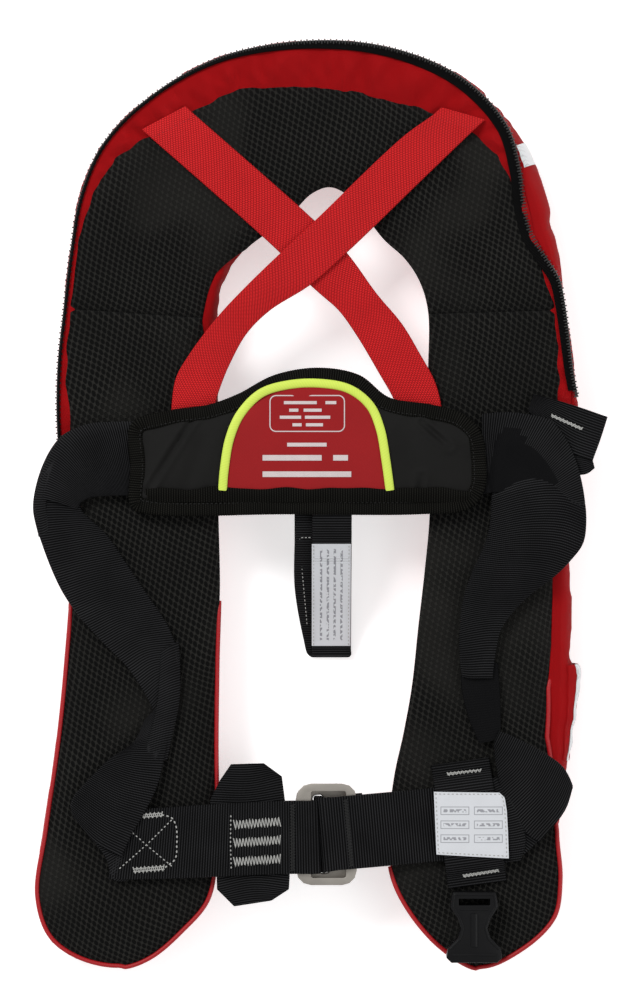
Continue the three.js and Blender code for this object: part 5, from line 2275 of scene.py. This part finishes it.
@dataclass
class BackLoop:
    """Doubled webbing tab under the yoke with its care label."""

    finishes: Finishes

    def build(self) -> None:
        """Makes the front leg, the slanted back leg and the label."""

        def edge(front: float, back: float) -> Array:
            """One selvedge: down the front leg and up the back leg, at their x."""
            return smooth([
                (front, 0, 46.2), (front, -10, 45.6), (front, -30, 37.4), (front, -52, 24.4),
                (front, -76, 10.4), (front, -90, 5.0), (front, -94.2, 3.6),
                ((front * 3 + back) / 4, -93.6, 2.0), ((front + back) / 2, -84, 3.4),
                (back, -52, 19.6), (back, -20, 37.6), (back, -3, 43.6)], 320)

        left, right = edge(-4.8, -15.6), edge(19.4, 9.0)
        middle = (left + right) / 2
        surface = band([right, middle, left], 1.9, Ribs(1.6, 0.15), cols=13)
        make_piece(
            "back_loop_webbing", surface, [self.finishes.webbing], "back_loop",
            stands_for="back_loop"
        )
        lines = [
            smooth([(x, -24.5, 41.4), (x, -40, 32.8), (x, -56, 23.4), (x, -72, 14.2),
                    (x, -88, 7.2)], 120)
            for x in (19.0, 7.3, -5.0)
        ]
        label = band(lines, 0.6, None, 1.4, 15)
        middle_y = -56.0
        label.cloth = [
            np.stack([label.points[f][..., 1] - middle_y, label.points[f][..., 0] - 7.0], axis=2)
            for f in label.faces
        ]
        make_piece(
            "back_loop_care_label", label, [self.finishes.care_label], "back_loop",
            stands_for="back_loop_label"
        )
        seam = Seam(2.6, 2.1, 0.3).along(smooth([
            (-6.4, -20.5, 42.6), (-12.4, -21.4, 37.8), (-11.0, -40, 27.4), (-8.0, -74, 9.6)]))
        rows = Seam(2.4, 1.8, 0.3)
        seam = seam + rows.along(smooth([(17.8, -26, 41.2), (17.8, -56, 24.0), (17.8, -87, 8.2)]))
        seam = seam + rows.along(smooth([(-3.8, -26, 41.2), (-3.8, -56, 24.0), (-3.8, -87, 8.2)]))
        make_piece(
            "back_loop_stitches", seam, [self.finishes.white_thread], "back_loop",
        )


@dataclass
class Hatch:
    """The flap on the right-hand wall, its reflective edge, and the patch at the collar."""

    shape: Horseshoe
    finishes: Finishes
    sewn: int = 9  # the wall's column, counted from the rim, where the flap is sewn on

    def build(self) -> None:
        """Makes the flap as a soft pillow with folds, its trim, and the collar's patch."""
        wall = Cover(self.shape, self.finishes, wall_points=44).wall(Side.OUTER)
        side = wall[:, 0, 0] > 0
        rows = np.flatnonzero(side & (wall[:, 0, 1] > -157) & (wall[:, 0, 1] < -99))
        out = np.column_stack(
            [-self.shape.inwards[Side.OUTER][rows], np.full(len(rows), 0.25)]
        )[:, None]
        away = np.clip((np.arange(wall.shape[1]) - self.sewn) / 6, 0, 1)[None, :, None]
        lift = 0.9 + 3.2 * away * np.exp(-(((wall[rows, 0, 1] + 106) / 11) ** 2))[:, None, None]
        flap = slice(self.sewn, 34)
        outside = wall[rows, flap] + out * lift[:, flap]
        piece = make_piece(
            "pocket_flap_cloth", closed_sheet(outside, outside - out * 0.8), [self.finishes.shell],
            "pocket_flap", stands_for="pocket_flap"
        )
        outside = wall[rows, 13:19] + out * (lift[:, 13:19] + 0.45)
        make_piece(
            "pocket_flap_reflective_edge", closed_sheet(outside, outside - out * 0.35),
            [self.finishes.film], "pocket_flap", stands_for="pocket_flap_trim")

        wall = Cover(self.shape, self.finishes).wall(Side.OUTER)
        rows = np.flatnonzero(
            (wall[:, 0, 0] > 0) & (wall[:, 0, 1] > 204.0) & (wall[:, 0, 1] < 219.0)
        )
        flat = wall[rows[0]:rows[-1] + 1, 2:8]
        top = flat + np.concatenate(
            [-self.shape.inwards[Side.OUTER][rows], np.full((len(rows), 1), 0.7)], axis=1
        )[:, None] * 0.5
        make_piece(
            "collar_reflective_patch", closed_sheet(top, top - np.array([0, 0, 0.6])),
            [self.finishes.film], stands_for="collar_reflector")


SOCKET = (94, -236.5, 50.5)  # the crotch buckle's middle, its top edge and its face
# The toggle cord's route in mm, the same points as the CAD cord's.
CORD_ROUTE = (
    (149.95, -100, 28), (149.95, -112, 28), (148.95, -124, 27), (144.95, -132, 25),
    (141, -137.65, 23.5),
)


@dataclass
class Inside:
    """What the cover holds: the folded bladder, the inflator, the oral tube and the whistle."""

    shape: Horseshoe
    finishes: Finishes
    cord_radius: float = 1.0
    cord_route: tuple = CORD_ROUTE

    def build(self) -> None:
        """Makes the bladder and rounds the edges of the moulded parts."""
        span = self.shape.between(1.4, len(STATIONS) - 0.4)
        outer, neck = self.shape.edge[Side.OUTER][span], self.shape.edge[Side.NECK][span]
        share = np.linspace(0.12, 0.49, 25)[None, :, None]
        xy = neck[:, None] * (1 - share) + outer[:, None] * share
        across = np.sin(math.pi * np.linspace(0.02, 0.98, 25))[None, :] ** 0.4
        ends = np.minimum(np.arange(len(xy)), np.arange(len(xy))[::-1])[:, None] / 8.0
        swell = across * np.clip(ends, 0.15, 1) ** 0.5
        folds = ripple(xy[..., 0], xy[..., 1], 77, 26) * 0.6
        top = np.concatenate([xy, (17 + 12.5 * swell + folds)[..., None]], axis=2)
        bottom = np.concatenate([xy, (17 - 12.5 * swell + folds * 0.5)[..., None]], axis=2)
        piece = make_piece(
            "bladder_folded", closed_sheet(top, bottom), [self.finishes.bladder],
            stands_for="bladder"
        )
        f = self.finishes
        parts = (
            ("co2_cylinder", f.plated, "grey_steel", "co2_cylinder", 0.6),
            ("inflator_body", f.black_plastic, "black_plastic", "root", 1.2),
            ("trigger_cartridge", f.yellow_plastic, "yellow_plastic", "root", 0.6),
            ("inflator_lever", f.red_plastic, "red_plastic", "inflator_lever", 0.6),
            ("toggle_handle", f.red_plastic, "red_plastic", "toggle", 0.8),
            ("oral_tube", f.black_plastic, "black_plastic", "root", 0.3),
            ("oral_tube_cap", f.red_plastic, "red_plastic", "oral_tube_cap", 0.5),
            ("whistle", f.orange_plastic, "orange_plastic", "root", 0.9),
            ("crotch_buckle", f.black_plastic, "black_plastic", "crotch_buckle", 0.8),
        )
        for node, material, slot, body, edge in parts:
            softened(node, f"{node}_moulded", material, body, edge)
        self.build_cord()
        self.build_socket_relief()

    def build_socket_relief(self) -> None:
        """The crotch buckle's raised rim, middle rib and mouth lip, as flattened beads."""
        x, top, face = SOCKET
        half = np.array(
            [(12, -1.4), (12.7, -4.4), (13, -8.8), (8.7, -16), (6.7, -22), (8.7, -28.6),
             (14.6, -34.6)]
        )
        rim = np.concatenate([half[::-1], half * [-1, 1]])
        lines = (
            (straight(rim, 90), 0.75),
            (np.array([(-13.6, -38.4), (0, -38.0), (13.6, -38.4)]), 0.8),
            (np.array([(0, -13), (0, -20), (0, -27), (0, -33)]), 2.3),
            (np.array([(-8.5, -10.6), (8.5, -10.6)]), 0.6),
        )
        shape = sum(
            (cord_tube(at_height(evenly(line, 60) + [x, top], face), radius, 12, 0.42) for line,
            radius in lines[1:]),
            cord_tube(at_height(evenly(lines[0][0], 160) + [x, top], face), lines[0][1], 12, 0.5),
        )
        make_piece(
            "crotch_buckle_relief", shape, [self.finishes.black_plastic], "crotch_buckle",
        )

    def build_cord(self) -> None:
        """The cord from the lever to the toggle, along the CAD cord's own route."""
        route = smooth(self.cord_route, 40)
        piece = make_piece(
            "toggle_cord_braided", cord_tube(route, self.cord_radius, 12), [self.finishes.tape],
            "toggle", stands_for="toggle_cord")


# ---------------------------------------------------------------- studio


@dataclass
class Studio:
    """A pale floor, soft lights and a camera straight above."""

    aim: tuple[float, float] = (-0.0058, 0.0028)
    distance: float = 2.2
    level: float = 0.04
    height: float = 0.6114

    def build(self) -> None:
        """Makes the floor, the lights, the world and the camera."""
        scene = bpy.context.scene
        scene.view_settings.view_transform = "Standard"
        side = np.linspace(-3, 3, 3)
        x, y = np.meshgrid(side, side, indexing="ij")
        flat = np.stack([x, y, 0 * x], axis=2) / MM
        floor = make_piece("studio_floor", grid(flat), [self.floor_finish()], None)
        camera = bpy.data.cameras.new("camera")
        camera.sensor_fit = "VERTICAL"
        camera.sensor_height = 36.0
        camera.lens = 36.0 * self.distance / self.height
        camera.clip_start, camera.clip_end = 0.05, 50.0
        stand = bpy.data.objects.new("camera", camera)
        stand.location = (*self.aim, self.level + self.distance)
        scene.collection.objects.link(stand)
        scene.camera = stand
        for name, where, size, power in (
            ("key", (-1.3, 1.5, 1.9), 0.9, 46.0), ("fill", (1.7, -0.5, 1.7), 1.4, 13.0),
        ):
            lamp = bpy.data.lights.new(name, "AREA")
            lamp.size, lamp.energy = size, power
            holder = bpy.data.objects.new(name, lamp)
            holder.location = where
            back = np.array(where) / np.linalg.norm(where)
            holder.rotation_euler = (
                math.acos(back[2]), 0, math.atan2(back[1], back[0]) + math.pi / 2
            )
            scene.collection.objects.link(holder)
        world = bpy.data.worlds.new("studio")
        world.use_nodes = True
        ground = world.node_tree.nodes["Background"]
        ground.inputs["Color"].default_value = (1.0, 1.0, 1.0, 1.0)
        ground.inputs["Strength"].default_value = 0.6
        scene.world = world

    def floor_finish(self) -> bpy.types.Material:
        """Pale matt paper."""
        g = Graph("Studio_paper")
        cloud = g.noise(300, 2.0)
        return g.finish(
            Base_Color=g.blend(cloud, (0.90, 0.90, 0.90, 1), (0.93, 0.93, 0.93, 1)), Roughness=0.9,
            Specular_IOR_Level=0.1, Emission_Color=(1.0, 1.0, 1.0, 1.0), Emission_Strength=0.5,
        )


def main() -> None:
    """Builds the studio and every piece of the jacket in order."""
    logging.basicConfig(level=logging.INFO, format="%(message)s")
    Studio().build()
    finishes = Finishes()
    shape = Horseshoe()
    for maker in (
        Cover(shape, finishes), Facing(shape, finishes), Lining(shape, finishes),
        Piping(shape, finishes),
        Zip(finishes), Inside(shape, finishes), Yoke(finishes), ShoulderStraps(finishes),
        SideStraps(finishes), Belt(finishes), Buckle(finishes), BeltLoop(finishes),
        KeeperTab(finishes),
        BackLoop(finishes), Hatch(shape, finishes),
    ):
        maker.build()
        log.info("%s done", type(maker).__name__)


if __name__ == "__main__":
    main()
